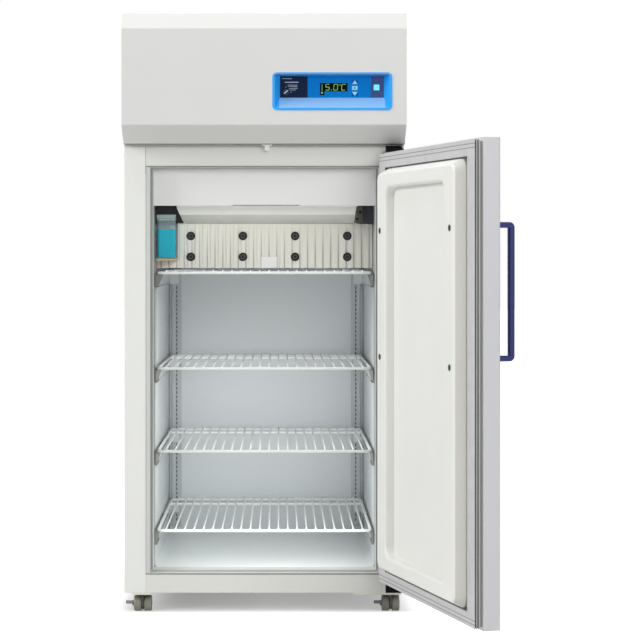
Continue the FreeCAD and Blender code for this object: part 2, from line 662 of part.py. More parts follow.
# Hood cover: sheet box over the machinery with slots in its rear
hood = doc.addObject("PartDesign::Body", "HoodCover")
hood_plan = sketch(hood, "XY", case_top, "HoodPlan")
oblong(hood_plan, around(half), (fascia_back, back))
pad(hood, hood_plan, hood_height)
hood_room = sketch(hood, "XY", case_top, "HoodRoom")
oblong(hood_room, around(half - skin), (fascia_back - 1, back - skin))
pocket(hood, hood_room, hood_height - skin, backwards=True)
hood_slots = sketch(hood, "XZ", back - skin - 1, "HoodSlots")
for middle in (-1, 0, 1):
    slot_x = middle * (vent_length + vent_pitch)
    oblong(hood_slots, (slot_x - vent_length / 2, slot_x + vent_length / 2),
           (case_top + vent_start, case_top + vent_start + vent_height))
vents = pocket(hood, hood_slots, skin + 2)
vent_steps = whole((hood_height - vent_start - vent_height - vent_over) / vent_pitch)
row(hood, vents, "Z_Axis", vent_steps * vent_pitch, vent_steps + 1)
named(hood, "hood_cover")

# Control bezel: rim, tub and a recess that narrows to the panel
panel_x = (bezel_x[0] + panel_side, bezel_x[0] + panel_side + panel_length)
panel_z = (bezel_z[0] + panel_rise, bezel_z[0] + panel_rise + panel_height)
panel_y = hood_face + bezel_deep
bezel = doc.addObject("PartDesign::Body", "ControlBezel")
bezel_rim_plan = sketch(bezel, "XZ", hood_face, "BezelRim")
rounded(bezel_rim_plan, bezel_x, bezel_z, bezel_radius)
pad(bezel, bezel_rim_plan, bezel_proud)
bezel_tub = sketch(bezel, "XZ", hood_face, "BezelTub")
rounded(bezel_tub, (cutout_x[0] + 0.3, cutout_x[1] - 0.3), (cutout_z[0] + 0.3, cutout_z[1] - 0.3),
        bezel_radius - bezel_lip)
pad(bezel, bezel_tub, bezel_deep + panel_thick + panel_floor, backwards=True)
recess_front = sketch(bezel, "XZ", hood_face - bezel_proud, "RecessFront")
oblong(recess_front, (bezel_x[0] + bezel_rim, bezel_x[1] - bezel_rim),
       (bezel_z[0] + bezel_rim, bezel_z[1] - bezel_rim / 2))
recess_back = sketch(bezel, "XZ", panel_y, "RecessBack")
oblong(recess_back, panel_x, panel_z)
recess = bezel.newObject("PartDesign::SubtractiveLoft", "Recess")
recess.Profile = recess_front
recess.Sections = [recess_back]
recess.Ruled = True
panel_seat = sketch(bezel, "XZ", panel_y, "PanelSeat")
oblong(panel_seat, panel_x, panel_z)
pocket(bezel, panel_seat, panel_thick)
named(bezel, "control_bezel")

# Control panel with its display seat, key wells and switch bore
board = doc.addObject("PartDesign::Body", "ControlPanel")
board_plan = sketch(board, "XZ", panel_y, "BoardPlan")
oblong(board_plan, panel_x, panel_z)
pad(board, board_plan, panel_thick, backwards=True)
window_x = (panel_x[0] + window_offset, panel_x[0] + window_offset + window_length)
window_z = (panel_z[0] + window_rise, panel_z[0] + window_rise + window_height)
board_window = sketch(board, "XZ", panel_y, "BoardWindow")
oblong(board_window, window_x, window_z)
pocket(board, board_window, window_thick)
key_x = (panel_x[0] + key_offset, panel_x[0] + key_offset + key_width)
key_step = key_height + key_gap
down_z = (panel_z[0] + key_rise, panel_z[0] + key_rise + key_height)
set_z = (down_z[0] + key_step, down_z[1] + key_step)
up_z = (set_z[0] + key_step, set_z[1] + key_step)
alarm_x = (panel_x[0] + alarm_offset, panel_x[0] + alarm_offset + alarm_side)
alarm_z = (panel_z[0] + alarm_rise, panel_z[0] + alarm_rise + alarm_side)
board_wells = sketch(board, "XZ", panel_y, "BoardWells")
for well_x, well_z in ((key_x, down_z), (key_x, set_z), (key_x, up_z), (alarm_x, alarm_z)):
    oblong(board_wells, (well_x[0] - key_room, well_x[1] + key_room),
           (well_z[0] - key_room, well_z[1] + key_room))
pocket(board, board_wells, key_thick - key_proud + key_travel + key_room)
lock_x = panel_x[0] + lock_inset
lock_z = panel_z[0] + lock_rise
board_lock = sketch(board, "XZ", panel_y, "BoardLock")
ring(board_lock, lock_x, lock_z, lock_radius + lock_room)
pocket(board, board_lock, lock_deep)
named(board, "control_panel")

named(box("DisplayWindow", window_x, (panel_y, panel_y + window_thick), window_z), "display_window")


def key(name, node, across, up):
    body = doc.addObject("PartDesign::Body", name)
    plan = sketch(body, "XZ", panel_y - key_proud, name + "Plan")
    rounded(plan, across, up, key_gap / 3)
    pad(body, plan, key_thick, backwards=True)
    named(body, node)


key("UpKey", "up_key", key_x, up_z)
key("SetKey", "set_key", key_x, set_z)
key("DownKey", "down_key", key_x, down_z)
key("AlarmKey", "alarm_key", alarm_x, alarm_z)

# Key switch: barrel with a flat key, turned part of the way
barrel = rod("Barrel", (0, 0, 0), "Y", lock_radius, lock_deep + 1)
blade = box("KeyBlade", around(lock_radius * 0.85), (-key_blade, 0), around(sized(1.1)))
switch = fuse("KeySwitch", barrel, blade)
switch.Placement = Place(V(lock_x.value, panel_y.value - 1, lock_z.value), Turn(V(0, 1, 0), -40))
named(switch, "key_switch")

# T-shaped door sensor under the hood
sensor_mid = (front - hood_foot / 2 - 6, front - hood_foot / 2 + 6)
sensor_z = case_top + hood_gap
sensor_top = box("SensorFlange", (sensor_x - sensor_flange / 2, sensor_x + sensor_flange / 2), sensor_mid,
                 (sensor_z - sensor_thick, sensor_z))
sensor_leg = box("SensorStem", (sensor_x - sensor_stem / 2, sensor_x + sensor_stem / 2),
                 (sensor_mid[0] + 2, sensor_mid[1] - 2),
                 (sensor_z - sensor_thick - sensor_long, sensor_z - sensor_thick))
named(fuse("DoorSensor", sensor_top, sensor_leg), "door_sensor")

# Hinges: a plate with its pin and a flange on the front column
pivot_x = half - door_side - hinge_inset
pivot_y = front - gasket_thick - gasket_room - hinge_back
hinge_x = (pivot_x - hinge_offset, pivot_x + hinge_reach)
hinge_y = (pivot_y - hinge_nose, front)
upper_z = door_high + hinge_gap
upper_plate = box("UpperPlate", hinge_x, hinge_y, (upper_z, upper_z + hinge_plate))
upper_flange = box("UpperFlange", hinge_x, (front - hinge_flange, front), (upper_z, case_top))
upper_pin = rod("UpperPin", (pivot_x, pivot_y, door_high - pin_length), "Z", pin_radius,
                pin_length + hinge_gap + hinge_plate / 2)
named(fuse("UpperHinge", upper_plate, upper_flange, upper_pin), "upper_hinge")
lower_z = door_low - hinge_gap
lower_plate = box("LowerPlate", hinge_x, hinge_y, (lower_z - hinge_plate, lower_z))
lower_flange = box("LowerFlange", hinge_x, (front - hinge_flange, front), (case_bottom, lower_z))
lower_pin = rod("LowerPin", (pivot_x, pivot_y, lower_z - hinge_plate / 2), "Z", pin_radius,
                pin_length + hinge_gap + hinge_plate / 2)
named(fuse("LowerHinge", lower_plate, lower_flange, lower_pin), "lower_hinge")

# The door is drawn shut, with its hinge axis at X = Y = 0, and then placed open
door_place = Place(V(pivot_x.value, pivot_y.value, 0), Turn(V(0, 0, 1), door_open.value))
door_left = hinge_inset - door_width
pan_back = hinge_back
pan_front = hinge_back - door_thick
door_mid = -pivot_x


def on_door(item, node):
    item.Placement = door_place
    named(item, node)


pan = doc.addObject("PartDesign::Body", "DoorPan")
pan_plan = sketch(pan, "XZ", pan_front, "PanPlan")
oblong(pan_plan, (door_left, hinge_inset), (door_low, door_high))
pan_block = pad(pan, pan_plan, door_thick, backwards=True)
rounding(pan, pan_block, door_radius,
         lambda edge: along(edge, V(0, 0, 1)) and near(edge.Vertexes[0].Point.y, pan_front))
pan_hollow = sketch(pan, "XZ", pan_front + skin, "PanHollow")
oblong(pan_hollow, (door_left + skin, hinge_inset - skin), (door_low + skin, door_high - skin))
pocket(pan, pan_hollow, door_thick)
pan_holes = sketch(pan, "XY", door_low - 1, "PanHoles")
ring(pan_holes, 0, 0, pin_radius + 0.5)
pocket(pan, pan_holes, door_height + 2, backwards=True)
on_door(pan, "door_pan")

foam_door = box("DoorFoamBlock", (door_left + skin, hinge_inset - skin),
                (pan_front + skin, pan_back - liner_base), (door_low + skin, door_high - skin))
foam_corners = ((door_left, door_left + door_radius), (hinge_inset - door_radius, hinge_inset))
foam_edges = [box("DoorFoamEdge%d" % i, corner, (pan_front + skin, pan_front + door_radius),
                  (door_low, door_high))
              for i, corner in enumerate(foam_corners)]
bores = [rod("DoorBore%d" % i, (0, 0, bore_z), "Z", pin_radius + pin_room, pin_length + pin_room)
         for i, bore_z in enumerate((door_low, door_high - pin_length - pin_room))]
on_door(cut("DoorFoam", foam_door, *foam_edges, *bores), "door_foam")

# Door liner: base, raised rim with tapered flanks, dish inside, all edges rounded
liner = doc.addObject("PartDesign::Body", "DoorLiner")
liner_plan = sketch(liner, "XZ", pan_back - liner_base, "LinerPlan")
oblong(liner_plan, (door_left + skin, hinge_inset - skin), (door_low + skin, door_high - skin))
pad(liner, liner_plan, liner_base, backwards=True)
rim_half = open_half - strip_side - rim_room
rim_x = (door_mid - rim_half, door_mid + rim_half)
rim_z = (floor_z + rim_under, ceiling_z - rim_over)
rim_plan = sketch(liner, "XZ", pan_back, "RimPlan")
rounded(rim_plan, rim_x, rim_z, rim_radius)
pad(liner, rim_plan, rim_stand, backwards=True)
crest_plan = sketch(liner, "XZ", pan_back + rim_stand, "CrestPlan")
rounded(crest_plan, rim_x, rim_z, rim_radius)
pad(liner, crest_plan, rim_rise, backwards=True, taper=-rim_taper)
crest_y = pan_back + rim_stand + rim_rise
dish_plan = sketch(liner, "XZ", crest_y, "DishPlan")
rounded(dish_plan, (rim_x[0] + dish_side, rim_x[1] - dish_side),
        (rim_z[0] + dish_under, rim_z[1] - dish_over), dish_radius)
dish = pocket(liner, dish_plan, dish_deep, backwards=True)
rounding(liner, dish, rim_edge_radius,
         lambda edge: all(near(vertex.Point.y, crest_y) for vertex in edge.Vertexes))
on_door(liner, "door_liner")

plugs = []
for plug_x in (rim_x[0] + plug_inset, rim_x[1] - plug_inset):
    for plug_z in (rim_z[1] - plug_drop - plug_pitch, rim_z[1] - plug_drop):
        plugs.append(rod("LinerPlug%d" % len(plugs), (plug_x, crest_y, plug_z), "Y", plug_radius,
                         plug_thick))
on_door(group("LinerPlugs", *plugs), "liner_plugs")

# Gasket: foot, ribs with folds between them, and a sealing lip, one ring on the other
gasket = doc.addObject("PartDesign::Body", "DoorGasket")
gasket_y = pan_back
gasket_lip = gasket_thick - gasket_foot - 2 * gasket_rib - 2 * gasket_fold
for stage, inset, tall in (("Foot", gasket_waist - 1, gasket_foot), ("Rib", sized(0), gasket_rib),
                           ("Fold", gasket_waist, gasket_fold), ("OuterRib", sized(0), gasket_rib),
                           ("OuterFold", gasket_waist, gasket_fold), ("Lip", sized(0), gasket_lip)):
    gasket_plan = sketch(gasket, "XZ", gasket_y, "Gasket" + stage)
    edge = gasket_inset + inset
    oblong(gasket_plan, (door_left + edge, hinge_inset - gasket_clear - inset),
           (door_low + edge, door_high - edge))
    edge = gasket_beside + inset
    oblong(gasket_plan, (rim_x[0] - edge, rim_x[1] + edge), (rim_z[0] - edge, rim_z[1] + edge))
    pad(gasket, gasket_plan, tall, backwards=True)
    gasket_y = gasket_y + tall
on_door(gasket, "door_gasket")

# Handle: bow of rounded bar on two legs
grip_mid = door_left + grip_inset
grip_low = door_low + grip_rise
grip_high = grip_low + grip_length
grip_face = pan_front - grip_out
grip = doc.addObject("PartDesign::Body", "DoorHandle")
grip_plan = sketch(grip, "YZ", grip_mid - grip_width / 2, "GripPlan")
outline(grip_plan, [
    (pan_front, grip_low),
    (pan_front, grip_low + grip_leg),
    (grip_face + grip_bar, grip_low + grip_leg),
    (grip_face + grip_bar, grip_high - grip_leg),
    (pan_front, grip_high - grip_leg),
    (pan_front, grip_high),
    (grip_face, grip_high),
    (grip_face, grip_low),
])
grip_pad = pad(grip, grip_plan, grip_width)
grip_bend = rounding(grip, grip_pad, grip_radius,
                     lambda edge: along(edge, V(1, 0, 0)) and near(edge.Vertexes[0].Point.y, grip_face))
rounding(grip, grip_bend, grip_edge_radius,
         lambda edge: all(vertex.Point.y < pan_front.value - 1 for vertex in edge.Vertexes)
         and not along(edge, V(1, 0, 0)))
on_door(grip, "door_handle")

# Evaporator housing: folded panel across the top of the chamber with a sloping soffit
panel_front = front + housing_set
cover_y = front + cover_set
soffit_z = ceiling_z - housing_low
wall = housing_wall
fold_y = panel_front + fold_set
shell = doc.addObject("PartDesign::Body", "EvaporatorHousing")
shell_plan = sketch(shell, "YZ", -inner_half, "ShellPlan")
outline(shell_plan, [
    (panel_front, soffit_z),
    (fold_y, soffit_z),
    (fold_y, soffit_z - fold_drop),
    (cover_y, cover_high),
    (front + housing_back, cover_high),
    (front + housing_back, ceiling_z),
    (panel_front, ceiling_z),
])
pad(shell, shell_plan, 2 * inner_half)
shell_hollow = sketch(shell, "YZ", -inner_half - 1, "ShellHollow")
outline(shell_hollow, [
    (panel_front + wall, soffit_z + wall),
    (fold_y + wall, soffit_z + wall),
    (fold_y + wall, soffit_z - fold_drop + 0.6 * wall),
    (cover_y + 0.4 * wall, cover_high + wall),
    (front + housing_back - wall, cover_high + wall),
    (front + housing_back - wall, ceiling_z - wall),
    (panel_front + wall, ceiling_z - wall),
])
pocket(shell, shell_hollow, 2 * inner_half + 2, backwards=True)
intakes = sketch(shell, "XY", cover_high - 1, "Intakes")
intake_front = panel_front + 3 * wall
for intake_x in ((-inner_half - 1, cover_offset - inner_half), (inner_half - intake_right, inner_half + 1)):
    oblong(intakes, intake_x, (intake_front, front + housing_back - intake_back))
pocket(shell, intakes, soffit_z - cover_high + wall, backwards=True)
named(shell, "evaporator_housing")

# Ribbed blower cover with plug holes, middle tab and outlet slots
cover_x = (cover_offset - inner_half, inner_half - cover_gap)
cover = doc.addObject("PartDesign::Body", "BlowerCover")
cover_plan = sketch(cover, "XZ", cover_y, "CoverPlan")
oblong(cover_plan, cover_x, (cover_low, cover_high))
pad(cover, cover_plan, cover_depth, backwards=True)
cover_room = sketch(cover, "XY", cover_high, "CoverRoom")
oblong(cover_room, (cover_x[0] + cover_wall, cover_x[1] - cover_wall),
       (cover_y + cover_wall, cover_y + cover_depth - cover_wall))
pocket(cover, cover_room, cover_height - cover_wall)
outlets = sketch(cover, "XY", cover_low - 1, "Outlets")
oblong(outlets, (cover_x[0] + outlet_side, cover_x[1] - outlet_side),
       (cover_y + outlet_front, cover_y + outlet_front + outlet_width))
outlet = pocket(cover, outlets, cover_wall + 2, backwards=True)
outlet_steps = whole((cover_depth - 2 * outlet_front - outlet_width) / outlet_pitch)
row(cover, outlet, "Y_Axis", outlet_steps * outlet_pitch, outlet_steps + 1)
rib_plan = sketch(cover, "XZ", cover_y, "RibPlan")
oblong(rib_plan, (cover_x[0] + rib_margin, cover_x[0] + rib_margin + rib_width), (cover_low, cover_high))
rib = pad(cover, rib_plan, rib_proud)
rib_steps = whole((cover_x[1] - cover_x[0] - 2 * rib_margin - rib_width) / rib_pitch)
row(cover, rib, "X_Axis", rib_steps * rib_pitch, rib_steps + 1)
stud_pitch = (cover_x[1] - cover_x[0] - stud_first - stud_last) / 3
tab_x = cover_x[0] + stud_first + 1.5 * stud_pitch
tab_plan = sketch(cover, "XZ", cover_y, "TabPlan")
oblong(tab_plan, (tab_x - tab_width / 2, tab_x + tab_width / 2), (cover_low, cover_low + tab_height))
pad(cover, tab_plan, tab_proud)
stud_at = [(cover_x[0] + stud_first + column * stud_pitch, cover_low + stud_low + line * stud_rise)
           for column in range(4) for line in range(2)]
named(cover, "blower_cover")

studs = []
for stud_x, stud_z in stud_at:
    number = len(studs)
    head = doc.addObject("Part::Cone", "Stud%d" % number)
    head.Placement = Place(V(), Turn(V(1, 0, 0), 90))
    bind(head, "Radius1", stud_radius)
    bind(head, "Radius2", stud_radius - stud_edge)
    bind(head, "Height", stud_head)
    bind(head, "Placement.Base.x", stud_x)
    bind(head, "Placement.Base.y", cover_y - rib_proud)
    bind(head, "Placement.Base.z", stud_z)
    studs.append(head)
named(group("CoverPlugs", *studs), "cover_plugs")

# Evaporator coil: fin block between two end plates, on the housing's floor
coil_x = inner_half - coil_wall
coil_y = (front + coil_set, front + coil_set + coil_depth)
coil_z = cover_high + wall


def coil(name, node, xs, ys, zs):
    fins = box(name + "Fins", xs, (ys[0] + end_proud, ys[1] - end_proud), (zs[0], zs[1] - end_proud))
    left = box(name + "LeftPlate", (xs[0] - end_plate, xs[0]), ys, zs)
    right = box(name + "RightPlate", (xs[1], xs[1] + end_plate), ys, zs)
    named(fuse(name, fins, left, right), node)


coil("EvaporatorCoil", "evaporator_coil", around(coil_x), coil_y, (coil_z, coil_z + coil_height))


def fan(name, hub, tip, deep, spread):
    body = doc.addObject("PartDesign::Body", name)
    core = sketch(body, "XY", 0, name + "Core")
    ring(core, 0, 0, hub)
    ring(core, 0, 0, shaft_radius + pin_room)
    pad(body, core, deep)
    blade_plan = sketch(body, "XZ", -hub * 0.7, name + "Blade")
    outline(blade_plan, [
        (-spread, 0.1 * deep),
        (blade_thick - spread, 0.1 * deep),
        (spread, 0.9 * deep),
        (spread - blade_thick, 0.9 * deep),
    ])
    one = pad(body, blade_plan, tip - hub * 0.7)
    circle_of(body, one, "Z_Axis", fan_blades)
    return body


# Evaporator fans hang on their motors under the housing's floor
cover_mid = (cover_x[0] + cover_x[1]) / 2
fan_y = cover_y + cover_depth / 2
fan_z = cover_high - motor_height - fan_gap - fan_depth
motors = []
for end, out in (("left", -1), ("right", 1)):
    fan_x = cover_mid + out * fan_spread
    motor = rod("Motor_" + end, (fan_x, fan_y, cover_high - motor_height), "Z", motor_radius, motor_height)
    shaft = rod("Shaft_" + end, (fan_x, fan_y, fan_z - 2), "Z", shaft_radius, fan_depth + fan_gap + 3)
    motors.append(fuse("MotorAndShaft_" + end, motor, shaft))
    blower = fan("Blower_" + end, fan_hub, fan_tip, fan_depth, blade_half)
    blower.Placement = Place(V(fan_x.value, fan_y.value, fan_z.value), Turn())
    named(blower, "evaporator_fan_" + end)
named(group("EvaporatorMotors", *motors), "evaporator_motors")

# Slotted pilasters on the rear wall
post_z = floor_z + post_low
post_height = cover_low - post_over - post_z
post_out = inner_half - post_side
slot_steps = whole((post_height - 2 * slot_start) / slot_pitch)
for end, out in (("left", -1), ("right", 1)):
    post = doc.addObject("PartDesign::Body", "Pilaster_" + end)
    post_mid = out * post_out
    post_plan = sketch(post, "XZ", rear_wall, "PostPlan_" + end)
    oblong(post_plan, (post_mid - post_width / 2, post_mid + post_width / 2), (post_z, post_z + post_height))
    pad(post, post_plan, post_deep)
    slot_plan = sketch(post, "XZ", rear_wall - post_deep, "SlotPlan_" + end)
    oblong(slot_plan, (post_mid - slot_width / 2, post_mid + slot_width / 2),
           (post_z + slot_start, post_z + slot_start + slot_height))
    slot = pocket(post, slot_plan, slot_deep)
    row(post, slot, "Z_Axis", slot_steps * slot_pitch, slot_steps + 1)
    named(post, "pilaster_" + end)


def wire(drawing, across, up, radius):
    """Section of a wire with a flat top and foot, so that crossing wires lie flat on each other."""
    flat = wire_flat * radius
    outline(drawing, [
        (across - radius, up),
        (across - radius / 2, up - flat),
        (across + radius / 2, up - flat),
        (across + radius, up),
        (across + radius / 2, up + flat),
        (across - radius / 2, up + flat),
    ])


shelf_half = inner_half - shelf_side
wire_flat = math.sqrt(3) / 2
grid_reach = shelf_half - shelf_wire
grid_steps = whole((2 * grid_reach - 2 * grid_margin) / grid_pitch)


def shelf(number, height):
    """Welded wire shelf: bent frame wire, a cross wire near the rear and a row of thin wires on top."""
    name = "Shelf%d" % number
    body = doc.addObject("PartDesign::Body", name)
    deep = shelf_depth - 2 * shelf_wire
    path = sketch(body, "XY", 0, name + "Path")
    rounded(path, around(grid_reach), (sized(0), deep), shelf_radius)
    section = sketch(body, "XZ", shelf_radius, name + "Section")
    wire(section, grid_reach, sized(0), shelf_wire)
    frame = body.newObject("PartDesign::AdditivePipe", name + "Frame")
    frame.Profile = section
    frame.Spine = path
    cross = sketch(body, "YZ", -grid_reach, name + "Cross")
    wire(cross, deep - cross_set, sized(0), shelf_wire)
    pad(body, cross, 2 * grid_reach)
    thin = sketch(body, "XZ", deep, name + "Thin")
    wire(thin, -grid_steps * grid_pitch / 2, wire_flat * (shelf_wire + grid_wire), grid_wire)
    first = pad(body, thin, deep)
    row(body, first, "X_Axis", grid_steps * grid_pitch, grid_steps + 1)
    body.Placement = Place(V(0, (front + shelf_set + shelf_wire).value, sized(height).value), Turn())
    named(body, "shelf_%d" % number)


shelf_first = cover_low - shelf_drop
shelf_second = shelf_first - second_drop
shelf_third = shelf_second - third_drop
shelf_fourth = floor_z + fourth_rise
shelf_heights = [shelf_first, shelf_second, shelf_third, shelf_fourth]
for number, height in enumerate(shelf_heights):
    shelf(number + 1, height)

# Brackets: a folded rail beside each shelf, hung on the pilaster by its rear arm
rail_out = inner_half - bracket_gap
for end, out in (("left", -1), ("right", 1)):
    rails = []
    for number, height in enumerate(shelf_heights):
        top = height - wire_flat * shelf_wire - shelf_room
        low = top - bracket_high
        far = rear_wall - post_deep

        def beside(near_x, far_x):
            return (near_x, far_x) if out > 0 else (-far_x, -near_x)

        tag = "%s%d" % (end, number)
        web = box("Web" + tag, beside(rail_out - bracket_sheet, rail_out), (front + bracket_set, far),
                  (low, top))
        seat = box("Seat" + tag, beside(rail_out - bracket_seat, rail_out), (front + bracket_set, far),
                   (top - bracket_sheet, top))
        lip = box("Lip" + tag, beside(rail_out - bracket_lip, rail_out), (front + bracket_set, far),
                  (low, low + bracket_sheet))
        arm = box("Arm" + tag, beside(post_out - post_width / 4, rail_out), (far - bracket_sheet, far),
                  (low, top))
        rails.append(fuse("Bracket" + tag, web, seat, lip, arm))
    named(group("ShelfBrackets_" + end, *rails), "shelf_brackets_" + end)

# Buffer bottle in its tray beside the blower cover
bottle_x = (bottle_offset - inner_half, bottle_offset - inner_half + bottle_side)
bottle_y = (cover_y - bottle_side, cover_y)
bottle_z = cover_low + bottle_low
tray = box("BottleTray", (bottle_x[0], cover_x[0]), (bottle_y[0] - 2, cover_y + tray_tail),
           (bottle_z - tray_thick, bottle_z))
named(tray, "bottle_tray")


def flask(name, inset, low, high):
    body = doc.addObject("PartDesign::Body", name)
    plan = sketch(body, "XY", low, name + "Plan")
    rounded(plan, (bottle_x[0] + inset, bottle_x[1] - inset), (bottle_y[0] + inset, bottle_y[1] - inset),
            bottle_radius - inset)
    pad(body, plan, high)
    return body


flask_out = flask("FlaskOutside", sized(0), bottle_z, bottle_high)
flask_in = flask("FlaskInside", bottle_wall, bottle_z + bottle_wall, bottle_high - 2 * bottle_wall)
named(cut("BufferBottle", flask_out, flask_in), "buffer_bottle")
named(flask("BufferFluid", bottle_wall, bottle_z + bottle_wall, fluid_high), "buffer_fluid")
named(rod("BottleCap", ((bottle_x[0] + bottle_x[1]) / 2, (bottle_y[0] + bottle_y[1]) / 2,
                        bottle_z + bottle_high), "Z", cap_radius, cap_high), "bottle_cap")

# Compressor: domed can on four feet
can = doc.addObject("PartDesign::Body", "CompressorCan")
can_plan = sketch(can, "XZ", 0, "CanPlan")
outline(can_plan, [
    (sized(0), pump_foot),
    (pump_radius, pump_foot),
    (pump_radius, pump_foot + pump_wall_high),
    (pump_radius * 0.7, pump_foot + pump_wall_high + pump_dome * 0.8),
    (pump_radius * 0.35, pump_foot + pump_wall_high + pump_dome),
    (sized(0), pump_foot + pump_wall_high + pump_dome),
])
turned = can.newObject("PartDesign::Revolution", "CanTurn")
turned.Profile = can_plan
turned.ReferenceAxis = (can_plan, ["V_Axis"])
turned.Angle = 360
feet = [box("CanFoot%d" % i, around(foot_length / 2), (inner, inner + foot_width), (sized(0), pump_foot))
        for i, inner in enumerate((foot_width / 2, foot_width * -1.5))]
pump = fuse("Compressor", can, *feet)
pump.Placement = Place(V((pump_inset - half).value, pump_y.value, case_top.value), Turn())
named(pump, "compressor")

# Condenser in front of the compressor, its fan and shroud behind it
heat_x = (half - heat_inset - heat_length, half - heat_inset)
heat_y = (front + heat_set, front + heat_set + heat_deep)
coil("CondenserCoil", "condenser_coil", heat_x, heat_y, (case_top, case_top + heat_high))

# Fan shroud with its motor on a cross bar, and the condenser fan on the shaft
shroud_y = (heat_y[1], heat_y[1] + shroud_deep)
shroud_mid = (heat_x[0] + heat_x[1]) / 2
shroud_z = case_top + heat_high / 2
shroud_box = box("ShroudBox", heat_x, shroud_y, (case_top, case_top + heat_high))
shroud_bore = rod("ShroudBore", (shroud_mid, shroud_y[0] - 1, shroud_z), "Y", shroud_hole, shroud_deep + 2)
shroud_ring = cut("ShroudRing", shroud_box, shroud_bore)
motor_bar = box("MotorBar", heat_x, (shroud_y[1] - bar_thick, shroud_y[1]),
                (shroud_z - shroud_bar / 2, shroud_z + shroud_bar / 2))
motor_can = rod("MotorCan", (shroud_mid, shroud_y[1] - bar_thick, shroud_z), "Y", cool_motor,
                motor_height + 20)
cool_back = shroud_y[1] - bar_thick - fan_gap
motor_shaft = rod("MotorShaft", (shroud_mid, cool_back - fan_depth - 2, shroud_z), "Y", shaft_radius,
                  fan_depth + fan_gap + 4)
named(fuse("FanShroud", shroud_ring, motor_bar, motor_can, motor_shaft), "fan_shroud")
cooler = fan("CondenserFan", cool_hub, cool_tip, fan_depth, blade_half * 1.6)
cooler.Placement = Place(V(shroud_mid.value, cool_back.value, shroud_z.value), Turn(V(1, 0, 0), 90))
named(cooler, "condenser_fan")

# Casters: plate, swivelling web with its axle, two wheels, and a pedal on the front ones
plate_low = case_bottom - caster_plate
caster_at = (
    ("front_left", caster_left - half, front + caster_inset, plate_side / 2, plate_side / 2, True),
    ("front_right", half - caster_right, front + caster_inset, plate_long, plate_side / 2, True),
    ("rear_left", caster_left - half, back - caster_inset, plate_side / 2, plate_side / 2, False),
    ("rear_right", half - caster_right, back - caster_inset, plate_long, plate_side / 2, False),
)
wheel_end = wheel_split + wheel_width
plates = []
for spot, at_x, at_y, reach_in, reach_out, braked in caster_at:
    swivel = Place(V(at_x.value, at_y.value, 0), Turn())
    slab = box("Slab_" + spot, (at_x - reach_in, at_x + reach_out),
               (at_y - plate_deep / 2, at_y + plate_deep / 2), (plate_low, case_bottom))
    hole = rod("SlabHole_" + spot, (at_x, at_y, plate_low - 1), "Z", swivel_radius + pin_room,
               caster_plate + 2)
    plates.append(cut("Plate_" + spot, slab, hole))
    disc = rod("Disc_" + spot, (sized(0), sized(0), plate_low - pin_room * 4 - disc_thick), "Z",
               disc_radius, disc_thick)
    spigot = rod("Spigot_" + spot, (sized(0), sized(0), plate_low - disc_thick), "Z", swivel_radius,
                 caster_plate + disc_thick - pin_room * 4)
    web = box("CasterWeb_" + spot, around(web_half), (-disc_radius * 0.6, trail + axle_radius * 2.5),
              (wheel_radius - axle_radius * 2, plate_low - disc_thick))
    outer_end = wheel_end + pedal_gap + (5 if braked else 1)
    axle = rod("Axle_" + spot, (-outer_end, trail, wheel_radius), "X", axle_radius,
               outer_end + wheel_end + 1)
    yoke = fuse("Yoke_" + spot, disc, spigot, web, axle)
    yoke.Placement = swivel
    named(yoke, "caster_yoke_" + spot)
    tyre = doc.addObject("PartDesign::Body", "Tyre_" + spot)
    tyre_plan = sketch(tyre, "XZ", sized(0), "TyrePlan_" + spot)
    outline(tyre_plan, [
        (wheel_split, axle_radius + pin_room),
        (wheel_split, wheel_radius),
        (wheel_end - wheel_edge, wheel_radius),
        (wheel_end, wheel_radius - wheel_edge),
        (wheel_end, wheel_radius * 0.5),
        (wheel_end - wheel_edge, axle_radius + pin_room),
    ])
    tyre_turn = tyre.newObject("PartDesign::Revolution", "TyreTurn_" + spot)
    tyre_turn.Profile = tyre_plan
    tyre_turn.ReferenceAxis = (tyre_plan, ["H_Axis"])
    tyre_turn.Angle = 360
    other = mirrored("OtherTyre_" + spot, tyre, V(1, 0, 0))
    pair = group("Wheels_" + spot, tyre, other)
    pair.Placement = Place(V(at_x.value, (at_y + trail).value, wheel_radius.value), Turn())
    named(pair, "caster_wheels_" + spot)
    if braked:
        boss_ring = rod("PedalBoss_" + spot, (-wheel_end - pedal_gap - 4, sized(0), sized(0)), "X",
                        pedal_hub, sized(4))
        paddle = box("PedalBlade_" + spot, (-wheel_end - pedal_gap - pedal_long, -wheel_end - pedal_gap),
                     (-trail - 4, -axle_radius), (-axle_radius, axle_radius / 2))
        boss_bore = rod("PedalBore_" + spot, (-wheel_end - pedal_long, sized(0), sized(0)), "X",
                        axle_radius + pin_room, pedal_long + 2)
        pedal = cut("Pedal_" + spot, fuse("PedalBody_" + spot, boss_ring, paddle), boss_bore)
        pedal.Placement = Place(V(at_x.value, (at_y + trail).value, wheel_radius.value),
                                Turn(V(1, 0, 0), -25))
        named(pedal, "brake_pedal_" + spot)
named(group("CasterPlates", *plates), "caster_plates")

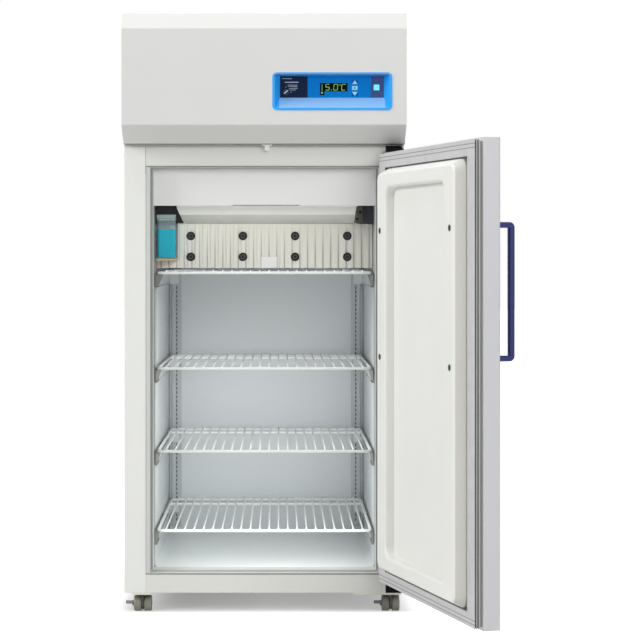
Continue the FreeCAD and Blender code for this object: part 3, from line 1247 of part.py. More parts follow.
# Build, look for faults, write one file per piece
doc.recompute()
faults = []
for item in doc.Objects:
    state = [word for word in item.State if word in ("Invalid", "Error")]
    if state:
        faults.append("%s (%s): %s" % (item.Name, item.Label, ", ".join(state)))
for item in NODES:
    if item.Shape.isNull() or not item.Shape.isValid() or not item.Shape.Solids:
        faults.append("%s: no valid solid" % item.Label)
if faults:
    raise SystemExit("\n".join(faults))
os.makedirs("parts", exist_ok=True)
for item in NODES:
    item.Shape.exportStep(os.path.join("parts", item.Label + ".step"))
    extent = item.Shape.BoundBox
    print("%-28s %2d solids %10.1f cm3  X %7.1f %7.1f  Y %7.1f %7.1f  Z %7.1f %7.1f" % (
        item.Label, len(item.Shape.Solids), item.Shape.Volume / 1000, extent.XMin, extent.XMax,
        extent.YMin, extent.YMax, extent.ZMin, extent.ZMax))
print(len(NODES), "nodes")
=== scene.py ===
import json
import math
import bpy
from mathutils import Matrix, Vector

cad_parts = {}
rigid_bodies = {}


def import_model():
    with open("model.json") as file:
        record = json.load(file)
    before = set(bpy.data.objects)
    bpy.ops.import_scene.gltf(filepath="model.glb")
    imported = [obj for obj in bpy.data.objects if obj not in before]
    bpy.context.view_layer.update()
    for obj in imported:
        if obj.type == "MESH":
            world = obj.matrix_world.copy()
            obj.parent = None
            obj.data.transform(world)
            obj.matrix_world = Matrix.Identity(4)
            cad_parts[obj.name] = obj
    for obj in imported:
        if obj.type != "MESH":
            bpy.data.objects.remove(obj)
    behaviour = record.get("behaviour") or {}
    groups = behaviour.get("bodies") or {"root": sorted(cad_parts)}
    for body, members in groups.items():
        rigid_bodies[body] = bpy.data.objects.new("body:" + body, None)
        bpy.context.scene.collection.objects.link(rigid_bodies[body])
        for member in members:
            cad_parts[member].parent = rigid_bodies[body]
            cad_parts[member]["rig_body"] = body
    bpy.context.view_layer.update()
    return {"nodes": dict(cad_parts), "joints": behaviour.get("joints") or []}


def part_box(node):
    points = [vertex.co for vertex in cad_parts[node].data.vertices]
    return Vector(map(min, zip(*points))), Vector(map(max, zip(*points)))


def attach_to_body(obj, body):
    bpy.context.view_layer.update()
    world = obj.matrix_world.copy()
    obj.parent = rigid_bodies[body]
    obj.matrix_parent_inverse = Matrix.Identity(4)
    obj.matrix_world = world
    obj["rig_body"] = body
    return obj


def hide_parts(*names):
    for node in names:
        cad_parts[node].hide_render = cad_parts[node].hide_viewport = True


bl_info = {
    "name": "Laboratory refrigerator",
    "version": (1, 0, 0),
    "blender": (4, 5, 0),
    "location": "3D View > Sidebar > Fridge",
    "description": "Dresses the packed laboratory refrigerator with its finishes, fittings and studio",
    "category": "Object",
}

import bmesh
import bpy
from mathutils import Matrix, Vector

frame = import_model()
NODES = frame["nodes"]
HINGE = next(joint for joint in frame["joints"] if joint["name"] == "door_swing")
DOOR_TURN = -math.radians(HINGE["range_deg"][0])
DOOR_PIVOT = Vector(HINGE["pos_m"])
SHELVES = ("shelf_1", "shelf_2", "shelf_3", "shelf_4")
SPOTS = ("front_left", "front_right", "rear_left", "rear_right")
FORWARD = (0, -1, 0)
PRINT = 0.0001  # height of prints and lit marks over the face that they lie on


def linear(*levels):
    """Colour as a shader wants it, from the 0 to 255 levels that a screen shows."""
    return tuple(((v / 255 + 0.055) / 1.055) ** 2.4 if v > 10 else v / 3294.6 for v in levels)


def colour(name, *levels):
    return bpy.props.FloatVectorProperty(name=name, description=name + " colour", subtype="COLOR", size=3,
                                         min=0.0, max=1.0, default=linear(*levels))


def length(name, words, default):
    return bpy.props.FloatProperty(name=name, description=words, subtype="DISTANCE", unit="LENGTH",
                                   min=0.0, precision=5, default=default)


class FridgeSizes(bpy.types.PropertyGroup):
    """Sizes of the fine work that the solids leave out."""

    sheet_edge: length("Sheet edge", "rounding of folded sheet edges", 0.0009)
    door_edge: length("Door edge", "rounding of the door's outer edges", 0.0009)
    liner_edge: length("Liner edge", "rounding of the door liner's moulded edges", 0.0045)
    plastic_edge: length("Plastic edge", "rounding of small mouldings", 0.0006)
    frame_wire: length("Frame wire", "radius of a shelf's frame wire", 0.0037)
    thin_wire: length("Thin wire", "radius of a shelf's thin wires", 0.0021)
    weld: length("Weld", "radius of the weld bead at a thin wire's end", 0.0029)
    screw_head: length("Screw head", "radius of the screws' heads", 0.0038)
    plug_ring: length("Plug ring", "radius of the ring on a cover plug", 0.0052)
    rib_margin: length("Rib margin", "first rib in from the blower cover's end", 0.006)
    rib_pitch: length("Rib pitch", "distance of two ribs on the blower cover", 0.0201)
    rib_width: length("Rib width", "width of a rib on the blower cover", 0.01)
    rib_edge: length("Rib edge", "rounding of the blower cover's ribs", 0.0012)
    digit_height: length("Digit height", "height of the display's digits", 0.0148)
    peel: length("Peel", "height of the powder coat's orange peel", 0.00006)
    fin_gap: length("Fin gap", "distance of two condenser fins", 0.0045)


class FridgeColours(bpy.types.PropertyGroup):
    """Colours of the finishes."""

    case: colour("Cabinet paint", 235, 236, 231)
    # painted shade: the case's paint made darker for the header, the rail and the soffit's lower strip
    rail: colour("Header and rail paint", 223, 224, 218)
    hood: colour("Hood paint", 219, 219, 216)
    chamber: colour("Chamber coat", 222, 227, 229)
    # painted light: the chamber's floor lighter than its walls
    chamber_floor: colour("Chamber floor", 246, 250, 250)
    trim: colour("Opening frame", 206, 208, 204)
    white: colour("White mouldings", 242, 242, 238)
    # painted shade: dark lines in the gaps around the opening's frame, and a strip on the chamber's side walls
    seam: colour("Seam", 132, 133, 128)
    # painted shade: the frame's step face, darker as if in shadow
    step: colour("Frame step", 176, 178, 174)
    # painted shade: dark inside the pilasters' slots, and a dark line for a finger slot with no cut behind it
    gap: colour("Slots and grooves", 88, 89, 88)
    # painted shade: the groove in the frame's step, and a line in the chamber's back corners
    groove: colour("Frame groove", 146, 148, 146)
    shade: colour("Hood underside", 84, 84, 80)
    liner: colour("Door liner", 235, 235, 230)
    # painted shade: the door liner's drawn sides darker than the liner
    liner_side: colour("Door liner's drawn sides", 207, 206, 197)
    pan: colour("Door paint", 216, 216, 219)
    gasket: colour("Gasket", 184, 184, 184)
    handle: colour("Handle", 32, 42, 104)
    housing: colour("Evaporator housing", 235, 235, 233)
    soffit: colour("Housing soffit", 234, 233, 223)
    cover: colour("Blower cover", 247, 246, 236)
    # the whiter front of the cover's tab; also a painted highlight on the soffit's upper fold and on a strip of the
    # frame's step
    tab: colour("Cover's tab", 250, 250, 247)
    rib_shade: colour("Beside the ribs", 150, 149, 138)
    gusset: colour("Housing gussets", 84, 86, 74)
    screen: colour("Intake screens", 62, 64, 78)
    plug: colour("Plugs", 20, 18, 15)
    ring: colour("Plug rings", 78, 76, 67)
    post: colour("Pilasters", 192, 198, 200)
    # painted shade: a darker wedge on the brackets below each shelf
    bracket: colour("Brackets", 138, 139, 134)
    wire: colour("Shelf wire", 251, 252, 250)
    bezel: colour("Bezel", 42, 168, 250)
    # painted light: the bezel's upward-facing ledge, lighter as if lit from above
    ledge: colour("Bezel ledge", 138, 190, 240)
    print_blue: colour("Panel print", 0, 124, 206)
    print_navy: colour("Switch field", 18, 34, 62)
    print_mauve: colour("Alarm field", 66, 82, 130)
    glass: colour("Display glass", 3, 8, 11)
    digit: colour("Digits", 112, 184, 76)
    mark: colour("Panel marks", 196, 206, 220)
    lock: colour("Key switch", 176, 180, 190)
    barrel: colour("Lock barrel", 44, 52, 70)
    screw: colour("Screws", 205, 206, 204)
    key: colour("Keys", 150, 216, 252)
    lit: colour("Lit key", 90, 220, 240)
    fluid: colour("Buffer fluid", 54, 192, 216)
    bottle: colour("Bottle", 200, 226, 230)
    amber: colour("Tray", 214, 184, 152)
    tread: colour("Wheel tread", 130, 130, 118)
    hub: colour("Caster body", 52, 52, 48)
    pedal: colour("Brake pedal", 128, 130, 130)
    zinc: colour("Zinc plate", 246, 242, 226)
    iron: colour("Black coat", 12, 12, 13)
    foam: colour("Foam", 226, 214, 178)
    fin: colour("Coil fins", 200, 203, 205)
    blade: colour("Fan", 48, 48, 50)
    galvanised: colour("Galvanised sheet", 168, 171, 173)


def both_ways(operation):
    """Two methods for a Math node: with the term first, and with the term second."""
    return (lambda self, other: self.maths(operation, self, other),
            lambda self, other: self.maths(operation, other, self))


class Term:
    """An output in a node tree. Sums and products of terms and numbers add Math nodes."""

    def __init__(self, graph, node, output=0):
        self.graph = graph
        self.node = node
        self.socket = node.outputs[output]

    def out(self, output):
        return Term(self.graph, self.node, output)

    def maths(self, operation, *values):
        return self.graph.add("ShaderNodeMath", {"operation": operation}, dict(enumerate(values)))

    __add__, __radd__ = both_ways("ADD")
    __sub__, __rsub__ = both_ways("SUBTRACT")
    __mul__, __rmul__ = both_ways("MULTIPLY")
    __truediv__, __rtruediv__ = both_ways("DIVIDE")
    __gt__, __lt__ = both_ways("GREATER_THAN")

    def __abs__(self):
        return self.maths("ABSOLUTE", self)

    def within(self, low, high):
        return (self > low) * (self < high)


class Graph:
    """A node tree that is filled by one method."""

    def __init__(self, tree):
        self.tree = tree
        tree.nodes.clear()

    @classmethod
    def of(cls, owner):
        """The graph of a material or a world."""
        owner.use_nodes = True
        return cls(owner.node_tree)

    def add(self, kind, settings={}, inputs={}, output=0, **named):
        """Adds a node. A named input has _ where its label has a space."""
        node = self.tree.nodes.new(kind)
        for name, value in settings.items():
            setattr(node, name, value)
        inputs = {**inputs, **{name.replace("_", " "): value for name, value in named.items()}}
        for key, value in inputs.items():
            if isinstance(value, Term):
                self.tree.links.new(value.socket, node.inputs[key])
            else:
                node.inputs[key].default_value = value
        return Term(self, node, output)

    def end(self, kind, result):
        """Sends a result to the tree's output."""
        self.tree.links.new(result.socket, self.tree.nodes.new(kind).inputs[0])

    def backdrop(self):
        """1 for rays from the camera, and for those that gloss and glass send on."""
        path = self.add("ShaderNodeLightPath", output="Is Camera Ray")
        sent_on = path.maths("MAXIMUM", path.out("Is Glossy Ray"), path.out("Is Transmission Ray"))
        return path.maths("MAXIMUM", path, sent_on)


class Finish(Graph):
    """A material with a principled shader, read in Object coordinates."""

    def __init__(self, name, base, roughness, **sockets):
        self.material = bpy.data.materials.new(name)
        self.material.use_nodes = True
        super().__init__(self.material.node_tree)
        self.base = (*getattr(colours(), base), 1.0)
        self.roughness = roughness
        self.shader = self.add("ShaderNodeBsdfPrincipled", Base_Color=self.base, Roughness=roughness)
        self.end("ShaderNodeOutputMaterial", self.shader)
        for socket, value in sockets.items():
            self.feed(socket.replace("_", " "), value)
        self.place = self.add("ShaderNodeTexCoord", output="Object")
        self.split()

    def split(self):
        parts = self.add("ShaderNodeSeparateXYZ", inputs={0: self.place})
        self.x, self.y, self.z = parts, parts.out(1), parts.out(2)

    def turned_to_door(self):
        """Reads the pattern in the shut door's own directions, with the hinge axis at zero."""
        moved = self.add("ShaderNodeVectorMath", {"operation": "SUBTRACT"},
                         {0: self.place, 1: (DOOR_PIVOT.x, DOOR_PIVOT.y, 0.0)})
        self.place = self.add("ShaderNodeMapping", Vector=moved, Rotation=(0, 0, -DOOR_TURN))
        self.split()
        return self

    def feed(self, socket, value):
        target = self.shader.node.inputs[socket]
        if isinstance(value, Term):
            self.tree.links.new(value.socket, target)
        else:
            target.default_value = value
        return self

    def facing(self, axis):
        """How far the surface looks along an axis, from -1 to 1."""
        normal = self.add("ShaderNodeTexCoord", output="Normal")
        return self.add("ShaderNodeSeparateXYZ", inputs={0: normal}).out(axis)

    def noise(self, scale, detail=2.0, stretch=(1, 1, 1)):
        place = self.add("ShaderNodeVectorMath", {"operation": "MULTIPLY"}, {0: self.place, 1: stretch})
        return self.add("ShaderNodeTexNoise", Vector=place, Scale=scale, Detail=detail)

    def cells(self, scale):
        return self.add("ShaderNodeTexVoronoi", Vector=self.place, Scale=scale)

    def mixed(self, share, first, second):
        first = first if isinstance(first, Term) else (*first[:3], 1.0)
        second = second if isinstance(second, Term) else (*second[:3], 1.0)
        return self.add("ShaderNodeMix", {"data_type": "RGBA"}, {0: share, 6: first, 7: second}, 2)

    def dimmed(self, dim):
        return [v * dim for v in self.base]

    def glow(self, scale, dim):
        return self.feed("Emission Color", self.mixed(self.noise(scale), self.base, self.dimmed(dim)))

    def tint(self, share, darker):
        """Varies the base colour by a share, towards a multiple of it."""
        self.shade = self.mixed(share, self.base, self.dimmed(darker))
        return self.feed("Base Color", self.shade)

    def paint(self, share, level):
        """Paints a colour where share is 1, over what is there."""
        self.shade = self.mixed(share, getattr(self, "shade", self.base), level)
        return self.feed("Base Color", self.shade)

    def gloss(self, share, spread):
        return self.feed("Roughness", share * spread + (self.roughness - spread / 2))

    def mottle(self, clouds, darker, sheen, spread, detail=2.0):
        """Clouds in the colour and in the gloss."""
        self.tint(self.noise(clouds, detail), darker)
        self.gloss(self.noise(sheen), spread)

    def marks(self, **masks):
        """Paints named colours, each where its mask is 1."""
        for name, mask in masks.items():
            self.paint(mask, getattr(colours(), name))
        return self

    def bump(self, height, distance, strength=1.0):
        before = getattr(self, "relief", None)
        inputs = {"Height": height, "Distance": distance, "Strength": strength}
        if before:
            inputs["Normal"] = before
        self.relief = self.add("ShaderNodeBump", inputs=inputs)
        return self.feed("Normal", self.relief)


def coat(name, base, roughness=0.42, peel=1.0, **sockets):
    """Powder coat: orange peel, faint clouds in colour and gloss."""
    finish = Finish(name, base, roughness, **sockets)
    finish.mottle(3.0, 0.965, 40.0, 0.08, 3.0)
    finish.bump(finish.noise(420.0), sizes().peel * peel, 0.5)
    return finish


def moulding(name, base, roughness=0.45, grain=900.0, height=0.00004, **sockets):
    """Moulded plastic: fine grain and faint flow marks."""
    finish = Finish(name, base, roughness, **sockets)
    finish.mottle(9.0, 0.95, 70.0, 0.1, 3.0)
    finish.bump(finish.cells(grain), height, 0.4)
    return finish


def bare_metal(name, base, roughness=0.35, along=(1, 1, 1)):
    """Rolled metal: fine drawn lines and a mottled gloss."""
    finish = Finish(name, base, roughness, Metallic=1.0)
    lines = finish.noise(260.0, 3.0, along)
    finish.tint(finish.noise(22.0, 4.0), 0.86)
    finish.gloss(lines, 0.22)
    finish.bump(lines, 0.00002, 0.5)
    return finish


def rubber(name, base, roughness=0.72):
    """Rubber and soft vinyl: matt, dusty where it is rubbed."""
    finish = Finish(name, base, roughness)
    finish.mottle(35.0, 1.25, 120.0, 0.12, 4.0)
    finish.bump(finish.noise(1400.0), 0.00003, 0.5)
    return finish


def middle(node):
    low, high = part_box(node)
    return (low + high) / 2


def dress(finish, *nodes):
    """Gives CAD nodes their finish and leaves their shape."""
    for node in nodes:
        for slot in NODES[node].material_slots:
            slot.material = finish.material


def new_piece(name, data, finish=None):
    piece = bpy.data.objects.new(name, data)
    bpy.context.scene.collection.objects.link(piece)
    if finish:
        data.materials.clear()
        data.materials.append(finish.material)
    return piece


def settle(piece):
    """Turns a piece and its modifiers into a plain mesh."""
    bpy.context.view_layer.update()
    shown = piece.evaluated_get(bpy.context.evaluated_depsgraph_get())
    mesh = bpy.data.meshes.new_from_object(shown)
    piece.modifiers.clear()
    piece.data = mesh
    return piece


def smooth(piece, degrees=35.0):
    mesh = piece.data
    mesh.polygons.foreach_set("use_smooth", [True] * len(mesh.polygons))
    mesh.set_sharp_from_angle(angle=math.radians(degrees))
    return piece


def attach(piece, like, *replaced):
    """Gives a piece the body of a CAD node, and hides the nodes that it stands for."""
    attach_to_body(piece, NODES[like]["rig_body"])
    if replaced:
        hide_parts(*replaced)
    return piece


def rounded(piece, width, steps=2, sharp=30.0):
    """Rounds a piece's sharp edges."""
    smooth(piece, 25.0)
    edges = piece.modifiers.new("Edges", "BEVEL")
    edges.width = width
    edges.segments = steps
    edges.limit_method = "ANGLE"
    edges.angle_limit = math.radians(sharp)
    edges.miter_outer = "MITER_ARC"
    normals = piece.modifiers.new("Normals", "WEIGHTED_NORMAL")
    normals.keep_sharp = True
    return settle(piece)


def soften(node, finish, width, steps=2, sharp=30.0):
    """Stands for a CAD node with a copy whose sharp edges are rounded."""
    mesh = NODES[node].data.copy()
    form = bmesh.new()
    form.from_mesh(mesh)
    bmesh.ops.remove_doubles(form, verts=form.verts, dist=1e-5)
    bmesh.ops.dissolve_limit(form, angle_limit=math.radians(0.6), verts=form.verts, edges=form.edges)
    form.to_mesh(mesh)
    form.free()
    piece = rounded(new_piece(node + "_finished", mesh, finish), width, steps, sharp)
    return attach(piece, node, node)


class Recipe(Graph):
    """A Geometry Nodes tree with named inputs, run once to give a plain mesh."""

    KINDS = {float: "NodeSocketFloat", int: "NodeSocketInt"}

    def __init__(self, name, **defaults):
        super().__init__(bpy.data.node_groups.new(name, "GeometryNodeTree"))
        face = self.tree.interface
        for way in ("INPUT", "OUTPUT"):
            face.new_socket("Geometry", in_out=way, socket_type="NodeSocketGeometry")
        self.sockets = {}
        for label, value in defaults.items():
            socket = face.new_socket(label, in_out="INPUT", socket_type=self.KINDS[type(value)])
            socket.default_value = value
            self.sockets[label] = socket.identifier
        self.entry = self.tree.nodes.new("NodeGroupInput")

    def __getitem__(self, label):
        return Term(self, self.entry, label)

    def vector(self, x=0.0, y=0.0, z=0.0):
        return self.add("ShaderNodeCombineXYZ", inputs={0: x, 1: y, 2: z})

    def placed(self, geometry, offset, turn=(0.0, 0.0, 0.0)):
        return self.add("GeometryNodeTransform", Geometry=geometry, Translation=offset, Rotation=turn)

    def joined(self, *parts):
        node = self.tree.nodes.new("GeometryNodeJoinGeometry")
        for part in parts:
            self.tree.links.new(part.socket, node.inputs[0])
        return Term(self, node)

    def block(self, x, y, z):
        return self.add("GeometryNodeMeshCube", Size=self.vector(x, y, z))

    def cone(self, foot, top, depth):
        return self.add("GeometryNodeMeshCone", {"fill_type": "NGON"}, Vertices=20, Radius_Top=top,
                        Radius_Bottom=foot, Depth=depth)

    def row(self, count, offset, start=(0.0, 0.0, 0.0)):
        return self.add("GeometryNodeMeshLine", {"mode": "OFFSET"}, Count=count, Offset=offset, Start_Location=start)

    def line(self, start, end):
        return self.add("GeometryNodeCurvePrimitiveLine", Start=start, End=end)

    def tube(self, curve, radius, sides=12):
        ring = self.add("GeometryNodeCurvePrimitiveCircle", Resolution=sides, Radius=radius)
        return self.add("GeometryNodeCurveToMesh", Curve=curve, Profile_Curve=ring, Fill_Caps=True)

    def scattered(self, points, form, **inputs):
        return self.add("GeometryNodeInstanceOnPoints", Points=points, Instance=form, **inputs)

    def done(self, geometry, finish):
        solid = self.add("GeometryNodeRealizeInstances", Geometry=geometry)
        self.end("NodeGroupOutput", self.add("GeometryNodeSetMaterial", Geometry=solid, Material=finish.material))
        return self

    def set_down(self, name, place, like, *replaced, **values):
        """Makes a piece and sets it at a place in the frame."""
        piece = self.make(name, **values)
        piece.data.transform(Matrix.Translation(place))
        return attach(piece, like, *replaced)

    def make(self, name, mesh=None, **values):
        piece = new_piece(name, mesh or bpy.data.meshes.new(name))
        steps = piece.modifiers.new("Recipe", "NODES")
        steps.node_group = self.tree
        for label, value in values.items():
            steps[self.sockets[label]] = value
        return smooth(settle(piece), 40.0)


def solid_of(name, faces, finish, thickness, direction):
    """Flat outlines, each pushed out to a thin solid along a direction."""
    form = bmesh.new()
    for corners in faces:
        face = form.faces.new([form.verts.new(corner) for corner in corners])
        pushed = bmesh.ops.extrude_face_region(form, geom=[face])
        moved = [item for item in pushed["geom"] if isinstance(item, bmesh.types.BMVert)]
        bmesh.ops.translate(form, vec=Vector(direction) * thickness, verts=moved)
    bmesh.ops.recalc_face_normals(form, faces=form.faces)
    mesh = bpy.data.meshes.new(name)
    form.to_mesh(mesh)
    form.free()
    return new_piece(name, mesh, finish)


def disc(x, z, radius, count=20):
    return [(x + radius * math.cos(2 * math.pi * i / count), z + radius * math.sin(2 * math.pi * i / count))
            for i in range(count)]


def strip(left, low, right, high):
    return [(left, low), (right, low), (right, high), (left, high)]


def raised(name, outlines, y, finish, thickness=PRINT):
    """Outlines in X and Z, pushed forward from a depth."""
    return solid_of(name, [[(x, y, z) for x, z in outline] for outline in outlines], finish, thickness, FORWARD)


def colours():
    return bpy.context.scene.fridge_colours


def sizes():
    return bpy.context.scene.fridge_sizes


class FRIDGE_OT_cabinet(bpy.types.Operator):
    """Paint the case, the header and the rail, the last two darker as painted shade, and finish the opening's frame
    with painted shade and a painted highlight
    """

    bl_idname = "fridge.cabinet"
    bl_label = "Cabinet"

    def execute(self, context):
        low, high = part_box("breaker_frame")
        paint = coat("case_coat", "case")
        # A dark line on the case's front beside the frame's top: painted shade in the gap.
        paint.marks(seam=(paint.y < low.y + 0.0015) * (abs(paint.x) < high.x + 0.0009) * (paint.z > high.z - 0.02))
        soften("outer_case", paint, sizes().sheet_edge)
        # The header and the rail are painted darker than the case: painted shade.
        sheet = coat("rail_coat", "rail")
        for node in ("header_panel", "base_rail"):
            soften(node, sheet, sizes().sheet_edge)
        trim = moulding("opening_frame", "trim", 0.4, 700.0)
        side, face = abs(trim.x), trim.y < low.y + 0.002
        # Painted shade on the frame's step face, darker still in its groove, and a painted highlight on a strip
        # beside the groove.
        step = abs(trim.y - (low.y + 0.014)) < 0.0008
        upright = step * trim.z.within(low.z + 0.012, high.z - 0.008)
        trim.marks(step=step, groove=upright * (side > high.x - 0.0175),
                   tab=upright * side.within(high.x - 0.0215, high.x - 0.0175))
        # Dark lines along the frame's outer edges: painted shade in the gap against the case.
        trim.marks(seam=face * (side > high.x - 0.0012))
        trim.marks(seam=face * (trim.z > high.z - 0.0034))
        trim.marks(seam=face * trim.z.within(low.z + 0.0012, low.z + 0.0044))
        soften("breaker_frame", trim, sizes().plastic_edge)
        foam = Finish("foam", "foam", 0.9)
        foam.tint(foam.noise(60.0, 4.0), 0.85)
        foam.bump(foam.cells(700.0), 0.0003, 0.6)
        dress(foam, "insulation", "door_foam")
        return {"FINISHED"}


class FRIDGE_OT_hood(bpy.types.Operator):
    """Paint the hood's front and cover"""

    bl_idname = "fridge.hood"
    bl_label = "Hood"

    def execute(self, context):
        front = coat("hood_coat", "hood")
        front.marks(shade=(front.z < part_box("hood_front")[0].z + 0.0048) * (front.y < -0.4))
        soften("hood_front", front, sizes().sheet_edge, 3)
        dress(coat("hood_cover_coat", "hood"), "hood_cover")
        sensor = moulding("sensor_moulding", "white", 0.35)
        soften("door_sensor", sensor, sizes().plastic_edge)
        return {"FINISHED"}


class FRIDGE_OT_controls(bpy.types.Operator):
    """Finish the recessed bezel, the printed panel, its display, keys and key switch"""

    bl_idname = "fridge.controls"
    bl_label = "Controls"

    SEGMENTS = {"5": "afgcd", "0": "abcdef", "C": "afed"}

    def strokes(self, sign, left, low, tall):
        """The lit bars of one seven-segment sign, as outlines in X and Z."""
        wide = tall * 0.64
        thick = tall * 0.105
        lean = 0.1
        ends = {"a": ((0, 1), (1, 1)), "b": ((1, 1), (1, 0.5)), "c": ((1, 0.5), (1, 0)), "d": ((0, 0), (1, 0)),
                "e": ((0, 0.5), (0, 0)), "f": ((0, 1), (0, 0.5)), "g": ((0, 0.5), (1, 0.5))}
        for bar in self.SEGMENTS[sign]:
            (x0, z0), (x1, z1) = ends[bar]
            start = Vector((x0 * wide, z0 * tall))
            end = Vector((x1 * wide, z1 * tall))
            run = (end - start).normalized()
            side = Vector((-run.y, run.x)) * thick / 2
            start = start + run * thick * 0.62
            end = end - run * thick * 0.62
            ring = (start - run * thick / 2, start + side, end + side, end + run * thick / 2, end - side,
                    start - side)
            yield [(left + p.x + lean * p.y, low + p.y) for p in ring]

    def execute(self, context):
        low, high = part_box("control_panel")
        bezel = moulding("bezel_moulding", "bezel", 0.38, 1200.0, 0.00002, Specular_IOR_Level=0.3)
        # The bezel's upward-facing ledge gets painted light.
        bezel.marks(ledge=(bezel.z < low.z + 0.002) * (bezel.facing(2) > 0.25)
                    * (abs(bezel.x - middle("control_panel").x) < (high.x - low.x) / 2 + 0.0025))
        soften("control_bezel", bezel, sizes().plastic_edge * 2.2, 3)
        wide = high.x - low.x
        panel = moulding("panel_print", "print_blue", 0.5, 1500.0, 0.00001, Specular_IOR_Level=0.06)
        panel.marks(print_navy=panel.x < low.x + wide * 0.266, print_mauve=panel.x > low.x + wide * 0.875)
        dress(panel, "control_panel")

        glass = Finish("display_glass", "glass", 0.2, Specular_IOR_Level=0.04)
        glass.mottle(30.0, 1.3, 90.0, 0.06)
        dress(glass, "display_window")
        window_low, window_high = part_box("display_window")
        panel.marks(glass=panel.x.within(window_low.x, window_low.x + 0.0115)
                    * panel.z.within(window_low.z - 0.0095, window_low.z + 0.001))
        front = window_low.y - PRINT
        digit = Finish("lit_digits", "digit", 0.4, Emission_Strength=0.3)
        digit.glow(400.0, 0.8)
        tall = sizes().digit_height
        foot = middle("display_window").z - tall / 2
        left = window_low.x + 0.0135
        outlines = []
        for sign, step in (("5", 0.0), ("0", 0.0205), ("C", 0.0402)):
            outlines += self.strokes(sign, left + step, foot, tall)
        outlines.append(disc(left + 0.0152, foot + 0.0006, 0.001))
        outlines += self.ring_marks(left + 0.0365, foot + tall * 0.88, 0.0019, 0.0012)
        attach(raised("display_digits", outlines, front, digit), "display_window")

        mark = moulding("white_mark", "mark", 0.4)
        stem = window_low.x + 0.0052
        bulb = disc(stem, window_low.z - 0.0038, 0.0023)
        tube = strip(stem - 0.0006, window_low.z + 0.0002, stem + 0.0006, window_high.z - 0.0035)
        gauge = [[(x, y, z) for x, z in part] for part, y in ((bulb, low.y - PRINT), (tube, front))]
        attach(solid_of("display_gauge", gauge, digit, PRINT, FORWARD), "display_window")
        marks = []
        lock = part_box("key_switch")
        mid = middle("key_switch").xz
        for turn in (0, 45, 90):
            run = Vector((math.cos(math.radians(turn)), math.sin(math.radians(turn))))
            side = Vector((-run.y, run.x)) * 0.0004
            near, far = mid + run * 0.0105, mid + run * 0.0145
            marks.append([near - side, far - side, far + side, near + side])
        for start, end, down, thick in ((0.006, 0.03, 0.0062, 0.001), (0.012, 0.046, 0.0152, 0.0018),
                                        (0.019, 0.044, 0.0225, 0.001), (0.021, 0.043, 0.0262, 0.001),
                                        (0.024, 0.044, 0.0305, 0.001), (0.024, 0.04, 0.0345, 0.001)):
            level = high.z - down
            marks.append(strip(low.x + start, level - thick / 2, low.x + end, level + thick / 2))
        attach(raised("panel_marks", marks, low.y - PRINT, mark), "door_sensor")

        key = moulding("key_moulding", "key", 0.35, 1500.0, 0.00001)
        soften("set_key", key, 0.0012, 3)
        for node, way in (("up_key", 1), ("down_key", -1)):
            a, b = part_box(node)
            x, z = middle(node).xz
            reach, rise = (b.x - a.x) / 2, (b.z - a.z) / 2
            foot, tip = z - way * rise, z + way * rise
            arrow = raised(node + "_arrow", [[(x - reach, foot), (x + reach, foot), (x, tip)]], b.y, key, b.y - a.y)
            rounded(arrow, 0.0007, 3)
            attach(arrow, node, node)
        lamp = Finish("lit_key", "lit", 0.25, Emission_Strength=0.5)
        lamp.glow(150.0, 0.7)
        soften("alarm_key", lamp, 0.0006, 3)
        navy = moulding("key_mark", "print_blue", 0.4)
        for node, paint in (("set_key", navy), ("alarm_key", mark)):
            a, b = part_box(node)
            x, z, r = *middle(node).xz, 0.0022
            badge = raised(node + "_mark", [strip(x - r, z - r, x + r, z + r)], a.y - PRINT, paint, 0.00012)
            attach(badge, node)
        steel = bare_metal("lock_steel", "lock", 0.3)
        steel.marks(barrel=steel.y > lock[1].y - 0.0075)
        soften("key_switch", steel, 0.0004, 2)
        return {"FINISHED"}

    def ring_marks(self, x, z, outer, inner, count=16):
        """A small ring, cut in quarters so that each outline is simple."""
        for quarter in range(4):
            angles = [math.pi / 2 * (quarter + i / (count / 4)) for i in range(count // 4 + 1)]
            yield ([(x + outer * math.cos(a), z + outer * math.sin(a)) for a in angles]
                   + [(x + inner * math.cos(a), z + inner * math.sin(a)) for a in reversed(angles)])


class FRIDGE_OT_door(bpy.types.Operator):
    """Finish the door's pan, moulded liner, gasket, plugs and handle"""

    bl_idname = "fridge.door"
    bl_label = "Door"

    FOLDS = ((0.0, 0.0322, 0.62), (0.0347, 0.0377, 0.22), (0.0402, 0.0432, 0.26))  # depths and share of light

    def execute(self, context):
        soften("door_pan", coat("door_coat", "pan"), sizes().door_edge, 3)
        liner = moulding("door_liner_moulding", "liner", 0.5, 500.0, 0.00003).turned_to_door()
        # The liner's drawn side at the free end gets painted shade.
        liner.marks(liner_side=liner.y.within(0.03, 0.0665) * (liner.x < -0.59))
        soften("door_liner", liner, sizes().liner_edge, 4, 20.0)
        gasket = rubber("gasket_vinyl", "gasket", 0.6).turned_to_door()
        foot, top = (corner.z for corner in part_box("door_gasket"))
        # Painted shade in the gasket's folds, and thin dark lines for the grooves on its top and bottom bands.
        folds = [(gasket.y.within(low, high), dim) for low, high, dim in self.FOLDS]
        folds += [((abs(gasket.z - level) < 0.0011) * (gasket.y > self.FOLDS[-1][1]), 0.55)
                  for level in (foot + 0.0085, foot + 0.0175, top - 0.0085, top - 0.0175)]
        for mask, dim in folds:
            gasket.paint(mask, gasket.dimmed(dim))
        soften("door_gasket", gasket, 0.0006, 2)
        plug = moulding("plug_moulding", "plug", 0.5)
        soften("liner_plugs", plug, sizes().plastic_edge)
        handle = moulding("handle_moulding", "handle", 0.36, 900.0, 0.00004, Specular_IOR_Level=0.35)
        soften("door_handle", handle, sizes().plastic_edge)
        return {"FINISHED"}


